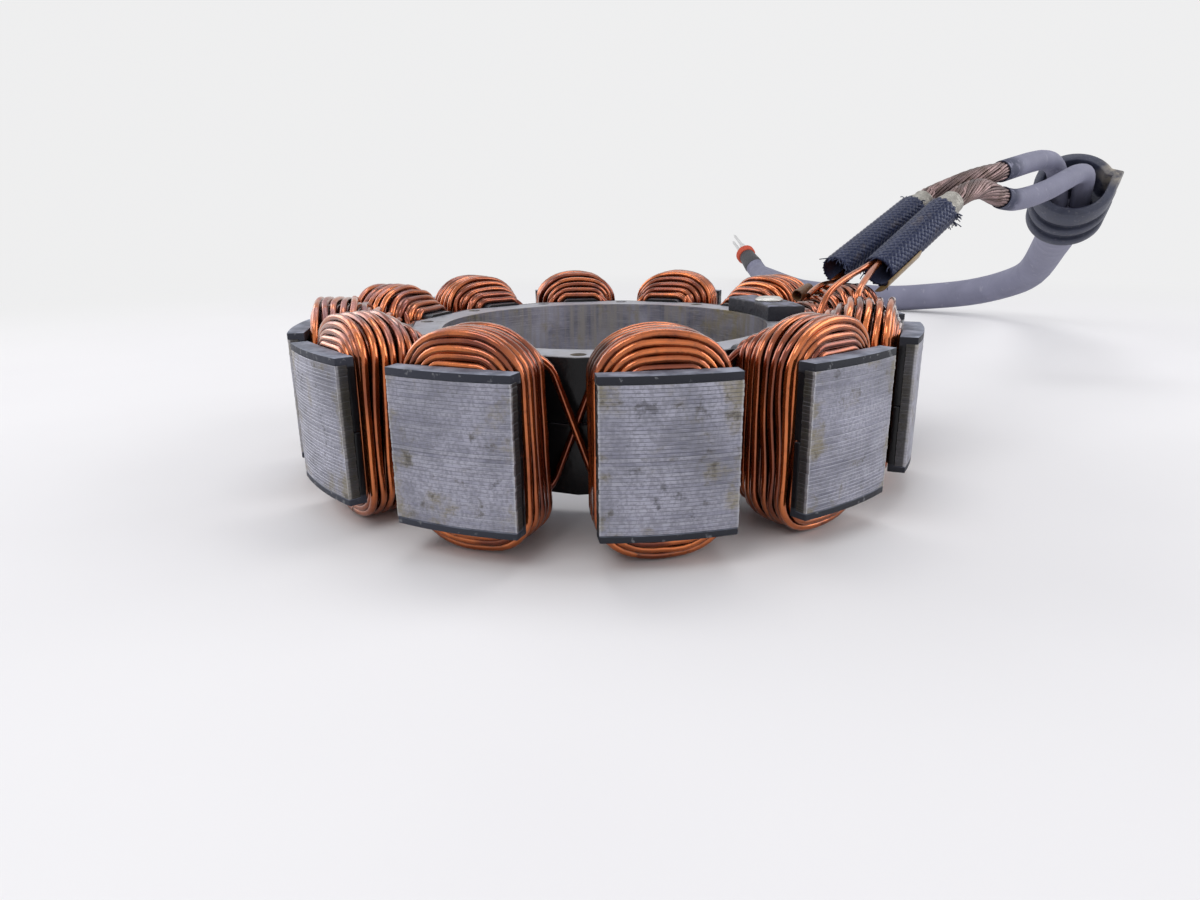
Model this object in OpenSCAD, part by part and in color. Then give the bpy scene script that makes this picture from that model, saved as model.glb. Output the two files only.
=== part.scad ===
// Wound stator of a small alternator: a laminated core with twelve outward poles,
// two moulded insulators, twelve layered copper coils, and a two-wire output cable.
// Millimetres. Origin on the bore axis at half the stack height, +Z up.
// The first pole faces -Y; the poles are counted from there towards +X.

/* [Core] */
// Diameter over the pole faces
stator_d = 108; // [104:0.5:114]
// Diameter of the central bore
bore_d = 58; // [54:0.5:60]
// Width of the yoke ring at a tooth
yoke_w = 5.2; // [4.6:0.1:5.8]
// Number of laminations in the stack
lamination_count = 38; // [32:1:44]
// Thickness of one lamination
lamination_t = 0.5; // [0.45:0.01:0.55]
// Width of a tooth
tooth_w = 6.6; // [6:0.1:7.2]
// Width of a pole shoe across its face
shoe_w = 17.8; // [16.6:0.1:18.6]
// Thickness of a shoe at its middle, where it joins the tooth
shoe_t = 2.2; // [2:0.1:2.6]
// Thickness of a shoe at its tips
tip_t = 1.6; // [1.4:0.1:1.9]
// Diameter of the interlock dimples that hold the laminations together
dimple_d = 2.4; // [1.8:0.1:2.8]
// Depth of an interlock dimple
dimple_depth = 0.4; // [0.2:0.05:0.5]
// Distance from a dimple's middle to the yoke's corner beside it
dimple_inset = 2.2; // [1.8:0.1:2.6]
// Width of the faced seat round the bore, on the underside
seat_w = 4.2; // [3.6:0.1:4.4]
// Depth of the cut that faces the seat
seat_depth = 0.2; // [0.1:0.05:0.3]

/* [Insulators] */
// Wall of the slot liners
liner_t = 0.7; // [0.5:0.05:0.9]
// Wall of the flanges behind the shoes
flange_t = 1; // [0.8:0.05:1.2]
// Thickness of the plates on the ends of the shoes
end_plate_t = 1; // [0.8:0.05:1.2]
// Rise of a tooth cover above the end of the stack
cover_rise = 0.5; // [0.4:0.05:0.7]
// Edge radius of a tooth cover
cover_edge_r = 1.2; // [1:0.05:1.2]
// Depth of the skirt that hangs below the yoke
skirt_h = 1.2; // [0.8:0.1:1.6]
// Joint between the two insulators at half height
seam_gap = 0.2; // [0.1:0.05:0.4]

/* [Coils] */
// Diameter of the enamelled wire
wire_d = 1.15; // [1.1:0.01:1.18]
// Distance between neighbouring turns in a layer
turn_pitch = 1.12; // [1.08:0.01:1.15]
// Distance between layers
layer_pitch = 0.95; // [0.9:0.01:0.98]
// Number of layers where the slot has room for all of them
full_layers = 5; // [4:1:5]

/* [Leads] */
// Outside diameter of the woven sleeves
sleeve_d = 6.3; // [5.9:0.1:6.7]
// Wall of the woven sleeves
sleeve_wall = 0.5; // [0.4:0.05:0.7]
// Length of a solder joint inside its sleeve
joint_in = 3; // [2:0.1:4]
// Length of a solder joint outside its sleeve
joint_out = 4; // [3:0.1:5]
// Outside diameter of the insulated conductors
conductor_d = 4.6; // [4.2:0.1:4.8]
// Diameter of the bare strands
strand_d = 4.3; // [3.8:0.1:4.6]
// Height of the lead block above the yoke
block_h = 2.7; // [2.3:0.1:3.2]
// Angle that the lead block spans
block_angle = 34; // [28:1:38]
// Head diameter of the lead block's rivet
rivet_head_d = 5.2; // [4.4:0.1:5.6]
// Shank diameter of the lead block's rivet
rivet_d = 2.8; // [2.4:0.1:3]
// Depth of the rivet's hole in the yoke
rivet_depth = 6; // [4:0.5:10]

/* [Cable] */
// Outside diameter of the cable's jacket
jacket_d = 10.6; // [9.8:0.1:11]
// Width of the case grommet
grommet_w = 18; // [17:0.1:19]
// Height of the case grommet
grommet_h = 15.5; // [15:0.1:16.5]
// Wall around the grommet's mouth
grommet_wall = 1.6; // [1.4:0.1:1.9]
// Depth of the grooves between the grommet's ribs
groove_depth = 1.4; // [1:0.1:1.8]
// Largest diameter of the plug's red seal
seal_d = 11.8; // [11:0.1:12.4]
// Diameter of a contact pin
pin_d = 3.2; // [2.6:0.1:3.6]

/* [Fits] */
// Clearance between seated pieces
fit = 0.05; // [0.02:0.01:0.1]

/* [Hidden] */
$fn = 36;
wire_fn = 13;
eps = 0.01;
black = [0.07, 0.07, 0.09];
copper = [0.72, 0.36, 0.18];
lead_grey = [0.45, 0.44, 0.5];

// Core outline
pole_count = 12;
pole_step = 360 / pole_count;
half_step = pole_step / 2;
stack_h = lamination_count * lamination_t;
half_h = stack_h / 2;
face_r = stator_d / 2;
bore_r = bore_d / 2;
yoke_r = bore_r + yoke_w;
yoke_corner_r = yoke_r / cos(half_step);
root_r = face_r - shoe_t;
tip_r = face_r * cos(asin(shoe_w / stator_d)) - tip_t;

// Tooth covers, in the plane across a tooth
cover_w = tooth_w / 2 + liner_t;
cover_top = half_h + cover_rise;
edge_y = cover_w - cover_edge_r;
edge_z = cover_top - cover_edge_r;

// Coil section: each layer is a little shorter than the one below it, more so at the yoke than at the shoe
yoke_step = 1.5;
shoe_step = 0.25;
coil_gap = 2 * fit;
wire_r = wire_d / 2;
wire_bed = 0.025;
last_turn_r = root_r - flange_t - coil_gap - wire_r;
turns = floor((last_turn_r - yoke_r - liner_t - coil_gap - wire_r) / turn_pitch) + 1;
layers = min(full_layers, floor((turns - 1) / (yoke_step + shoe_step)) + 1);
coil_build = wire_d - wire_bed + (layers - 1) * layer_pitch;
coil_top = cover_top + coil_gap + coil_build;
coil_in_r = turn_r(0) - wire_r;

function turn_r(u) = last_turn_r - (turns - 1 - u) * turn_pitch;
function layer_n(j) = wire_r - wire_bed + j * layer_pitch;
function reversed(list) = [for (i = [len(list) - 1 : -1 : 0]) list[i]];

// Smooth curves and swept tubes
function unit(v) = v / norm(v);
function between(a, b, c, d, t) = 0.5 * (2 * b + (c - a) * t + (2 * a - 5 * b + 4 * c - d) * t * t
    + (3 * b - a - 3 * c + d) * t * t * t);
function curve(p, n) = [
    for (i = [0 : len(p) - 2])
        for (k = [0 : n - 1])
            between(p[max(i - 1, 0)], p[i], p[i + 1], p[min(i + 2, len(p) - 1)], k / n),
    p[len(p) - 1]
];
// Curve through the middle points whose two ends run straight along given directions
ease = 1.5;
function eased(start, start_way, middle, end, end_way, n) = concat(
    [start],
    curve(concat([start + ease * start_way], middle, [end - ease * end_way]), n),
    [end]
);
function heading(p, i) = unit(p[min(i + 1, len(p) - 1)] - p[max(i - 1, 0)]);
function turned(q, a) = [q.x * cos(a) - q.y * sin(a), q.x * sin(a) + q.y * cos(a)];
function ring(c, t, ref, shape, a) =
    let (side = unit(cross(t, ref)), rise = cross(side, t))
        [for (q = shape) let (w = turned(q, a)) c + side * w.x + rise * w.y];
function round_shape(d, n) = [for (i = [0 : n - 1]) d / 2 * [cos(360 * i / n), sin(360 * i / n)]];
function rope_shape(d, lobes, n) = [
    for (i = [0 : lobes * n - 1])
        d / 2 * (1 - 0.16 * pow(cos(180 * i / n), 2))
            * [cos(360 * i / (lobes * n)), sin(360 * i / (lobes * n))]
];

// Leads, set out from the top of the pole that carries them
lead_pole = 3;
lead_lift = 0.85;
lead_base = [face_r, 0, coil_top + lead_lift];
lead_root = [coil_in_r, 0, coil_top + lead_lift];
wire_sides = 8;
tube_sides = 10;
front_foot = lead_base + [-1.9, 0.6, 1.4];
front_head = lead_base + [15.7, 10.3, 12.1];
rear_foot = lead_base + [-7.1, 7.4, 1.1];
rear_head = lead_base + [14, 18.6, 12.5];
front_way = unit(front_head - front_foot);
rear_way = unit(rear_head - rear_foot);
sleeve_bore_r = sleeve_d / 2 - sleeve_wall;
front_joint_end = front_head + joint_out * front_way;
rear_joint_end = rear_head + joint_out * rear_way;
front_cut = lead_base + [34.9, 20.6, 14.7];
front_cut_way = unit([5, 2.5, -1]);
rear_cut = lead_base + [37.3, 25.4, 20.1];
rear_cut_way = unit([7, 3.6, 1.4]);

// Grommet and cable
grommet_mouth = lead_base + [70.5, 44.8, 18];
grommet_way = unit([0.42, 0.7, -0.577]);
grommet_roll = 18;
grommet_side = unit(cross(grommet_way, [0, 0, 1]));
mouth_depth = 9;
mouth_lip = 5;
rib_step = 2.2;
boss_l = 3;
grommet_l = mouth_lip + 4 * rib_step + boss_l;
jacket_start = grommet_mouth + mouth_depth * grommet_way;
core_offset = jacket_d / 4 - 0.2;
front_core_end = jacket_start + core_offset * grommet_side;
rear_core_end = jacket_start - core_offset * grommet_side;
cable_z = jacket_d / 2 - coil_top;
// Cable route: x, y and the height of the jacket above the surface it lies on
cable_route = [
    [158, 95, 26], [177, 128, 15], [181, 147, 9], [177, 165, 4], [165, 180, 1], [155, 187, 0],
    [146, 194, 0], [136, 205, 0], [131, 219, 0], [130, 234, 0], [134, 264, 0], [139, 295, 0],
    [144, 325, 0], [146.4, 337.5, 0.8], [146, 343, 3.2]
];
cable_path = [for (p = cable_route) [p.x, p.y, cable_z + p.z]];
jacket_end = cable_path[len(cable_path) - 1];
plug_way = heading(cable_path, len(cable_path) - 1);
boot_l = 14;
seal_l = 6;
pin_l = 20;

// Moves its children so that their Z axis starts at p and runs along way
module along(p, way) {
    translate(p)
        rotate([0, acos(way.z / norm(way)), atan2(way.y, way.x)])
            children();
}

// Copies its children onto every pole; a pole's own +X points outward
module each_pole() {
    for (i = [0 : pole_count - 1])
        rotate([0, 0, i * pole_step - 90])
            children();
}

// Tube or rope that follows a path; ref is any direction that the path never takes
module swept(path, shape, ref, twist = 0) {
    n = len(shape);
    m = len(path);
    points = [for (i = [0 : m - 1]) each ring(path[i], heading(path, i), ref, shape, twist * i / (m - 1))];
    sides = [
        for (i = [0 : m - 2])
            for (k = [0 : n - 1])
                let (a = i * n + k, b = i * n + (k + 1) % n)
                    each [[a, a + n, b + n], [a, b + n, b]]
    ];
    start = [for (k = [0 : n - 1]) k];
    end = [for (k = [n - 1 : -1 : 0]) (m - 1) * n + k];
    polyhedron(points = points, faces = concat([start], sides, [end]));
}

// Yoke outline: a twelve-sided ring whose corners lie in the slots
module yoke_outline(apothem) {
    rotate(half_step)
        circle(r = apothem / cos(half_step), $fn = pole_count);
}

// Half of a shoe's underside is sloped, so the slot narrows towards the tip
module shoe_outline(inset) {
    intersection() {
        circle(r = face_r);
        polygon([
            [root_r - inset, -tooth_w / 2],
            [tip_r - inset, -shoe_w / 2],
            [stator_d, -shoe_w / 2],
            [stator_d, shoe_w / 2],
            [tip_r - inset, shoe_w / 2],
            [root_r - inset, tooth_w / 2]
        ]);
    }
}

module lamination_outline() {
    difference() {
        union() {
            yoke_outline(yoke_r);
            each_pole() {
                translate([bore_r + yoke_w / 2, -tooth_w / 2])
                    square([root_r - bore_r - yoke_w / 2 + eps, tooth_w]);
                shoe_outline(0);
            }
        }
        circle(r = bore_r);
    }
}

module lamination_stack() {
    color([0.6, 0.62, 0.65])
        difference() {
            linear_extrude(stack_h, center = true)
                lamination_outline();
            for (i = [0 : pole_count - 1])
                rotate([0, 0, (i + 0.5) * pole_step - 90])
                    translate([yoke_corner_r - dimple_inset, 0, half_h - dimple_depth])
                        cylinder(d = dimple_d, h = 2 * dimple_depth);
            block_place()
                translate([0, 0, half_h - rivet_depth])
                    cylinder(d = rivet_d + 2 * fit, h = rivet_depth + 1);
            translate([0, 0, -half_h - 1])
                cylinder(r = bore_r + seat_w, h = seat_depth + 1);
        }
}

// Tooth cover seen along the tooth: straight walls and round edges
module cover_outline() {
    translate([-cover_w, seam_gap / 2])
        square([2 * cover_w, edge_z - seam_gap / 2]);
    translate([-edge_y, 2 * seam_gap])
        square([2 * edge_y, cover_top - 2 * seam_gap]);
    for (side = [-1, 1])
        translate([side * edge_y, edge_z])
            circle(r = cover_edge_r);
}

// Room that an insulator leaves for the laminations
module stack_room() {
    wide = shoe_w / 2 + 1;
    slope = (tip_r - root_r) / (shoe_w / 2 - tooth_w / 2);
    yoke_outline(yoke_r + fit);
    each_pole() {
        translate([bore_r + yoke_w / 2, -tooth_w / 2 - fit])
            square([root_r - bore_r - yoke_w / 2, tooth_w + 2 * fit]);
        polygon([
            [root_r - fit, -tooth_w / 2],
            [root_r - fit + slope * (wide - tooth_w / 2), -wide],
            [stator_d, -wide],
            [stator_d, wide],
            [root_r - fit + slope * (wide - tooth_w / 2), wide],
            [root_r - fit, tooth_w / 2]
        ]);
    }
}

// Half of the slot insulation: liners, tooth covers and end plates, with a skirt below the yoke if it has one
module insulator(skirt) {
    color(black)
        difference() {
            union() {
                translate([0, 0, seam_gap / 2])
                    linear_extrude(half_h + skirt - seam_gap / 2)
                        yoke_outline(yoke_r + liner_t);
                each_pole() {
                    translate([yoke_r, 0, 0])
                        rotate([90, 0, 90])
                            linear_extrude(root_r - yoke_r - flange_t / 2)
                                cover_outline();
                    translate([0, 0, seam_gap / 2])
                        linear_extrude(half_h + fit + end_plate_t - seam_gap / 2)
                            shoe_outline(flange_t);
                }
            }
            linear_extrude(2 * (half_h + fit), center = true)
                stack_room();
            linear_extrude(stack_h)
                yoke_outline(yoke_r + fit);
        }
}

module upper_insulator() {
    insulator(0);
}

module lower_insulator() {
    mirror([0, 0, 1])
        insulator(skirt_h);
}

// Section through one side of a coil: x away from the tooth, y along the tooth.
// Wires are drawn where they show; the buried ones are filled.
module coil_section() {
    top = layers - 1;
    yoke_end = [for (j = [0 : top]) [layer_n(j), turn_r(j * yoke_step)]];
    shoe_end = [for (j = [0 : top]) [layer_n(j), turn_r(turns - 1 - j * shoe_step)]];
    polygon(concat([[0, turn_r(0)]], yoke_end, reversed(shoe_end), [[0, turn_r(turns - 1)]]));
    for (p = concat(yoke_end, shoe_end))
        translate(p)
            circle(d = wire_d, $fn = wire_fn);
    for (u = [top * yoke_step + 1 : turns - 2 - top * shoe_step])
        translate([layer_n(top), turn_r(u)])
            circle(d = wire_d, $fn = wire_fn);
}

// One coil: the section is carried round the tooth along straight sides, edge bends and ends
module coil(index) {
    color(copper)
        rotate([0, 0, (index - 1) * pole_step - 90]) {
            for (side = [0, 1])
                mirror([0, side, 0])
                    translate([0, 0, -edge_z])
                        mirror([1, -1, 0])
                            linear_extrude(2 * edge_z)
                                translate([cover_w + coil_gap, 0])
                                    coil_section();
            for (end = [0, 1])
                mirror([0, 0, end]) {
                    for (side = [0, 1])
                        mirror([0, side, 0])
                            translate([0, edge_y, edge_z])
                                rotate([90, 0, 90])
                                    rotate_extrude(angle = 90)
                                        translate([cover_edge_r + coil_gap, 0])
                                            coil_section();
                    translate([0, -edge_y, cover_top + coil_gap])
                        rotate([-90, -90, 0])
                            linear_extrude(2 * edge_y)
                                coil_section();
                }
        }
}

function coil_name(i) = str("coil_", i < 10 ? "0" : "", i);

// Pairs of wires that cross in a slot and join neighbouring coils; the slot of the leads has none
module coil_links() {
    slope = unit([yoke_step * turn_pitch, layer_pitch]);
    foot = [turn_r(0), cover_w + coil_gap + layer_n(0)];
    reach = wire_d + fit;
    link_r = yoke_corner_r + liner_t / cos(half_step) + fit + wire_r;
    color(copper)
        for (i = [0 : pole_count - 1])
            if (i != lead_pole)
                rotate([0, 0, (i + 0.5) * pole_step - 90])
                    for (k = [0, 1]) {
                        x = link_r + k * (wire_d + fit);
                        along_tooth = x * cos(half_step) - foot.x;
                        across_tooth = x * sin(half_step) - foot.y;
                        y = (slope.x * across_tooth - slope.y * along_tooth - reach)
                            / (slope.y * sin(half_step) + slope.x * cos(half_step));
                        translate([x, 0, 0])
                            rotate([(k == 0 ? -1 : 1) * atan(y / half_h), 0, 0])
                                cylinder(d = wire_d, h = 2 * norm([y, half_h]), center = true, $fn = 32);
                    }
}

// Place of the lead block's rivet, on the yoke beside the lead pole
rivet_angle = 96;
block_in_r = bore_r + 0.4;
block_out_r = yoke_r - 2 * fit;
rivet_r = (block_in_r + block_out_r) / 2 + 0.6;

module block_place() {
    rotate([0, 0, rivet_angle - 90])
        translate([rivet_r, 0, 0])
            children();
}

// Moulded block that clamps the leads on the yoke; its top overhangs the tooth covers
module lead_block() {
    shelf_z = cover_top + 2 * fit;
    block_top = half_h + block_h;
    color([0.2, 0.2, 0.23])
        difference() {
            rotate([0, 0, 80 - 90])
                rotate_extrude(angle = block_angle)
                    polygon([
                        [block_in_r, half_h],
                        [block_out_r, half_h],
                        [block_out_r, shelf_z],
                        [coil_in_r - 2 * fit, shelf_z],
                        [coil_in_r - 2 * fit, block_top - 0.3],
                        [coil_in_r - 2 * fit - 0.3, block_top],
                        [block_in_r + 0.3, block_top],
                        [block_in_r, block_top - 0.3]
                    ]);
            block_place()
                cylinder(d = rivet_d + 2 * fit, h = block_top + 1);
        }
}

module block_rivet() {
    head_z = half_h + block_h;
    color([0.75, 0.75, 0.72])
        block_place()
            rotate_extrude()
                polygon([
                    [0, half_h - rivet_depth + fit],
                    [rivet_d / 2, half_h - rivet_depth + fit],
                    [rivet_d / 2, head_z],
                    [rivet_head_d / 2, head_z],
                    [rivet_head_d / 2, head_z + 0.3],
                    [rivet_head_d / 2 - 0.6, head_z + 0.7],
                    [0, head_z + 0.7]
                ]);
}

// Wire end in its short brown sleeve, which lies on the coil beside the lead block
link_from = lead_root + [2.9, 6.6, -3.3];
link_to = lead_root + [6.3, 9.2, -2.3];
link_way = unit(link_to - link_from);
link_l = norm(link_to - link_from);
link_sleeve_d = 2.4;
link_sleeve_bore = 1.8;
link_inset = 1;
link_tail = 0.8;

module link_wire() {
    color(copper)
        along(link_from + link_inset * link_way, link_way)
            cylinder(d = wire_d, h = link_l - link_inset + link_tail, $fn = 32);
}

module link_sleeve() {
    color([0.4, 0.25, 0.15])
        along(link_from, link_way)
            difference() {
                cylinder(d = link_sleeve_d, h = link_l);
                translate([0, 0, -1])
                    cylinder(d = link_sleeve_bore, h = link_l + 2);
            }
}

// Two wire ends that rise from the coil and lie side by side against the wall of a sleeve's bore;
// lie is 1 along its top and -1 along its bottom
module lead_wires(routes, foot, way, lie) {
    half_pair = 0.7;
    top = unit([0, 0, 1] - way.z * way);
    side = cross(way, top);
    offset = lie * sqrt(pow(sleeve_bore_r - wire_r - fit, 2) - pow(half_pair, 2));
    color(copper)
        for (k = [0, 1]) {
            entry = foot + offset * top + (k == 0 ? -half_pair : half_pair) * side;
            path = curve(concat(routes[k], [entry, entry + 5 * way, entry + 10 * way]), 3);
            swept(path, round_shape(wire_d, wire_sides), [0.2, -0.9, 0]);
        }
}

module front_lead_wires() {
    lead_wires([
        [lead_root + [0.8, -9.1, -7.4], lead_root + [1, -9, -4.6], lead_root + [3.1, -7.5, -1.4],
            lead_base + [-11, -4.9, 0.6]],
        [lead_base + [-10.8, -10.4, -5.3], lead_base + [-10.6, -10.1, -1.6], lead_base + [-8, -7, 0.6]]
    ], front_foot, front_way, 1);
}

module rear_lead_wires() {
    lead_wires([
        [lead_base + [-9.5, 10.6, -6.4], lead_base + [-8.7, 9.8, -2.9]],
        [lead_root + [2.3, -0.1, -2.6], lead_base + [-11.5, 4, -1.2]]
    ], rear_foot, rear_way, -1);
}

module sleeve(foot, head) {
    color([0.12, 0.12, 0.2])
        along(foot, head - foot)
            difference() {
                cylinder(d = sleeve_d, h = norm(head - foot));
                translate([0, 0, -1])
                    cylinder(r = sleeve_bore_r, h = norm(head - foot) + 2);
            }
}

// Lump of solder that fills a sleeve's upper end and joins the wires to the strands
module solder_joint(head, way) {
    color([0.65, 0.64, 0.6])
        along(head - joint_in * way, way)
            rotate_extrude()
                polygon([
                    [0, 0],
                    [sleeve_bore_r - 0.6, 0],
                    [sleeve_bore_r - fit, 1],
                    [sleeve_bore_r - fit, joint_in + 0.8],
                    [strand_d / 2, joint_in + joint_out],
                    [0, joint_in + joint_out]
                ]);
}

module strands(path) {
    color(copper)
        swept(path, rope_shape(strand_d, 7, 3), [0, 0, 1], 150);
}

module front_strands() {
    strands(eased(front_joint_end + fit * front_way, front_way, [
        lead_base + [23.6, 14.6, 15.9],
        lead_base + [28, 17, 16.4]
    ], front_cut, front_cut_way, 5));
}

module rear_strands() {
    strands(eased(rear_joint_end + fit * rear_way, rear_way, [
        lead_base + [24.6, 21.8, 17.2],
        lead_base + [30.5, 23, 18.9]
    ], rear_cut, rear_cut_way, 5));
}

module conductor(path) {
    color(lead_grey)
        swept(path, round_shape(conductor_d, tube_sides), [0, 0, 1]);
}

module front_conductor() {
    conductor(eased(front_cut + fit * front_cut_way, front_cut_way, [
        lead_base + [40, 23, 14.2],
        lead_base + [46, 26, 15],
        lead_base + [53, 30.2, 16.5],
        lead_base + [60, 34.8, 18.4],
        lead_base + [67, 39.8, 20],
        lead_base + [72, 43.6, 19.4]
    ], front_core_end - fit * grommet_way, grommet_way, 3));
}

module rear_conductor() {
    conductor(eased(rear_cut + fit * rear_cut_way, rear_cut_way, [
        lead_base + [44.8, 30.3, 21.5],
        lead_base + [51.6, 35.4, 22.6],
        lead_base + [58, 40.6, 23.2],
        lead_base + [63.4, 44.8, 22.8],
        lead_base + [67.7, 48, 20.4]
    ], rear_core_end - fit * grommet_way, grommet_way, 3));
}

// Strip of varnished film that clings to the underside of the front sleeve
module insulation_film() {
    film_t = 0.25;
    color([0.75, 0.6, 0.35])
        along(front_foot, front_way)
            rotate([0, 0, -75])
                rotate_extrude(angle = 80)
                    translate([sleeve_d / 2 + fit, -1.5])
                        square([film_t, 11]);
}

// D-shaped outline of the grommet; the flat side is towards -X
module grommet_outline(inset) {
    r = grommet_w / 2 - inset;
    flat = grommet_h - grommet_w / 2 - inset;
    circle(r = r);
    translate([-flat, -r])
        square([flat, 2 * r]);
}

// Ribbed rubber grommet that seals the cable in the engine case
module case_grommet() {
    color([0.13, 0.13, 0.15])
        along(grommet_mouth, grommet_way)
            rotate([0, 0, grommet_roll])
                difference() {
                    union() {
                        linear_extrude(mouth_lip)
                            grommet_outline(0);
                        for (i = [0 : 3])
                            translate([0, 0, mouth_lip + i * rib_step])
                                linear_extrude(rib_step)
                                    grommet_outline(i % 2 == 0 ? groove_depth : 0);
                        translate([0, 0, mouth_lip + 4 * rib_step])
                            cylinder(d = jacket_d + 2 * grommet_wall, h = boss_l);
                    }
                    translate([0, 0, -1])
                        linear_extrude(mouth_depth + 1)
                            grommet_outline(max(grommet_wall, groove_depth + 0.6));
                    cylinder(d = jacket_d + 2 * fit, h = grommet_l + 1);
                }
}

module cable_jacket() {
    color(lead_grey)
        swept(concat([jacket_start, grommet_mouth + grommet_l * grommet_way], cable_path),
            round_shape(jacket_d, tube_sides), [0, 0, 1]);
}

module cable_boot() {
    color([0.25, 0.25, 0.28])
        along(jacket_end + fit * plug_way, plug_way)
            rotate_extrude()
                polygon([
                    [0, 0],
                    [jacket_d / 2 - 0.2, 0],
                    [jacket_d / 2 + 0.2, 2],
                    [jacket_d / 2 - 0.6, boot_l],
                    [0, boot_l]
                ]);
}

module seal_collar() {
    color([0.8, 0.2, 0.1])
        along(jacket_end + (boot_l + 2 * fit) * plug_way, plug_way)
            rotate_extrude()
                polygon([
                    [0, 0],
                    [seal_d / 2 - 0.8, 0],
                    [seal_d / 2, 1],
                    [seal_d / 2 - 0.7, 2.2],
                    [seal_d / 2, 3.4],
                    [seal_d / 2 - 1.6, seal_l],
                    [0, seal_l]
                ]);
}

module contact_pins() {
    color([0.8, 0.8, 0.8])
        along(jacket_end + (boot_l + seal_l + 3 * fit) * plug_way, plug_way)
            for (side = [-1, 1])
                translate([side * pin_d * 0.7, 0, 0])
                    rotate_extrude()
                        polygon([
                            [0, 0],
                            [pin_d / 2, 0],
                            [pin_d / 2, 4],
                            [pin_d / 2 - 0.6, 5],
                            [pin_d / 2 - 0.8, pin_l - 2],
                            [0.2, pin_l],
                            [0, pin_l]
                        ]);
}

lamination_stack();
upper_insulator();
lower_insulator();
for (i = [1 : pole_count])
    coil(i);
coil_links();
lead_block();
block_rivet();
link_wire();
link_sleeve();
front_lead_wires();
rear_lead_wires();
sleeve(front_foot, front_head);  // front_sleeve
sleeve(rear_foot, rear_head);  // rear_sleeve
solder_joint(front_head, front_way);  // front_solder_joint
solder_joint(rear_head, rear_way);  // rear_solder_joint
front_strands();
rear_strands();
front_conductor();
rear_conductor();
insulation_film();
case_grommet();
cable_jacket();
cable_boot();
seal_collar();
contact_pins();
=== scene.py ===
# %% [markdown]
# # A wound stator, dressed in Blender
# The packed model holds every solid of the stator in its place. This lesson loads it as a fixed frame, winds the
# coils with real wire, stacks the core sheet by sheet and gives each piece its finish. Lengths are written in
# millimetres and multiplied by MM, because Blender works in metres.

# %% Frame
import math
import random
from contextlib import contextmanager

import bmesh
import bpy
from mathutils import Matrix, Vector, noise
from mathutils.bvhtree import BVHTree
from mathutils.geometry import tessellate_polygon


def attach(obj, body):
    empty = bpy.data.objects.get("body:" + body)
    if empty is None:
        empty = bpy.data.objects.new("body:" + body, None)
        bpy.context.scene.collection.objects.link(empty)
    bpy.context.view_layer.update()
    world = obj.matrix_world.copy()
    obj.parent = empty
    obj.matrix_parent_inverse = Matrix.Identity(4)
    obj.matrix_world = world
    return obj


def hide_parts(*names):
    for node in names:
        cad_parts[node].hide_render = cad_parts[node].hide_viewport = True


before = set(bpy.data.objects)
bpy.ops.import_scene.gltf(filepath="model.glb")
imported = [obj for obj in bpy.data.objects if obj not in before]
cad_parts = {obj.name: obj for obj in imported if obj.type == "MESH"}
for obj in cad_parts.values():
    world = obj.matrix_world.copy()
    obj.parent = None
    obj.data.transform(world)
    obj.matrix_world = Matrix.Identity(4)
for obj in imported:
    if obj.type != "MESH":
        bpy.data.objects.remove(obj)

MM = 0.001
UP = Vector((0, 0, 1))
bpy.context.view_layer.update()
bpy.context.scene.view_settings.view_transform = "Standard"
print("solids in the frame:", len(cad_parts))

# %% [markdown]
# ## Camera
# The photograph was taken from close by with a wide lens, so the near poles look large and the cable shrinks
# away. The camera could be posed by hand. Here it is built from its place, its line of sight and a small roll,
# which were worked out from the corners of the pole shoes, so every piece can be compared with the photograph.

# %% Camera
EYE = Vector((-21.62, -143.73, 29.38))
AHEAD = Vector((0.1353, 0.9474, -0.2902)).normalized()
ROLL = math.radians(0.676)
SENSOR_W, LENS, NEAREST = 36, 23.94, 5


def camera_matrix(eye, ahead, roll):
    level = ahead.cross(UP).normalized()
    upright = level.cross(ahead)
    right = level * math.cos(roll) - upright * math.sin(roll)
    top = upright * math.cos(roll) + level * math.sin(roll)
    turned = Matrix((right, top, -ahead)).transposed().to_4x4()
    return Matrix.Translation(eye * MM) @ turned


camera = bpy.data.objects.new("camera", bpy.data.cameras.new("camera"))
camera.matrix_world = camera_matrix(EYE, AHEAD, ROLL)
camera.data.sensor_fit = "HORIZONTAL"
camera.data.sensor_width = SENSOR_W
camera.data.lens = LENS
camera.data.clip_start = NEAREST * MM
bpy.context.scene.collection.objects.link(camera)
bpy.context.scene.camera = camera
print("camera stands", round(EYE.length), "mm from the middle of the bore")

# %% [markdown]
# ## Shader sums
# A finish is a tree of nodes. Placing them by hand is slow to read, so one small class wraps a socket and lets it
# stand in a Python sum, and a second one adds the nodes. Each surface then reads like a recipe: noise here, dust
# there, mixed into a colour. Patterns are read in millimetres on the Object coordinates, which all pieces share.

# %% Shader sums
# Numbers of the colour sockets of a Mix node, which shares their names with its other sockets.
MIX_SHARE, MIX_FIRST, MIX_SECOND, MIX_RESULT = 0, 6, 7, 2


class Signal:
    """A shader socket that can stand in a Python sum."""

    def __init__(self, finish, socket):
        self.finish = finish
        self.socket = socket

    def __add__(self, other):
        return self.finish.math("ADD", self, other)

    def __sub__(self, other):
        return self.finish.math("SUBTRACT", self, other)

    def __rsub__(self, other):
        return self.finish.math("SUBTRACT", other, self)

    def __mul__(self, other):
        return self.finish.math("MULTIPLY", self, other)

    def __truediv__(self, other):
        return self.finish.math("DIVIDE", self, other)

    __radd__, __rmul__ = __add__, __mul__


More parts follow.
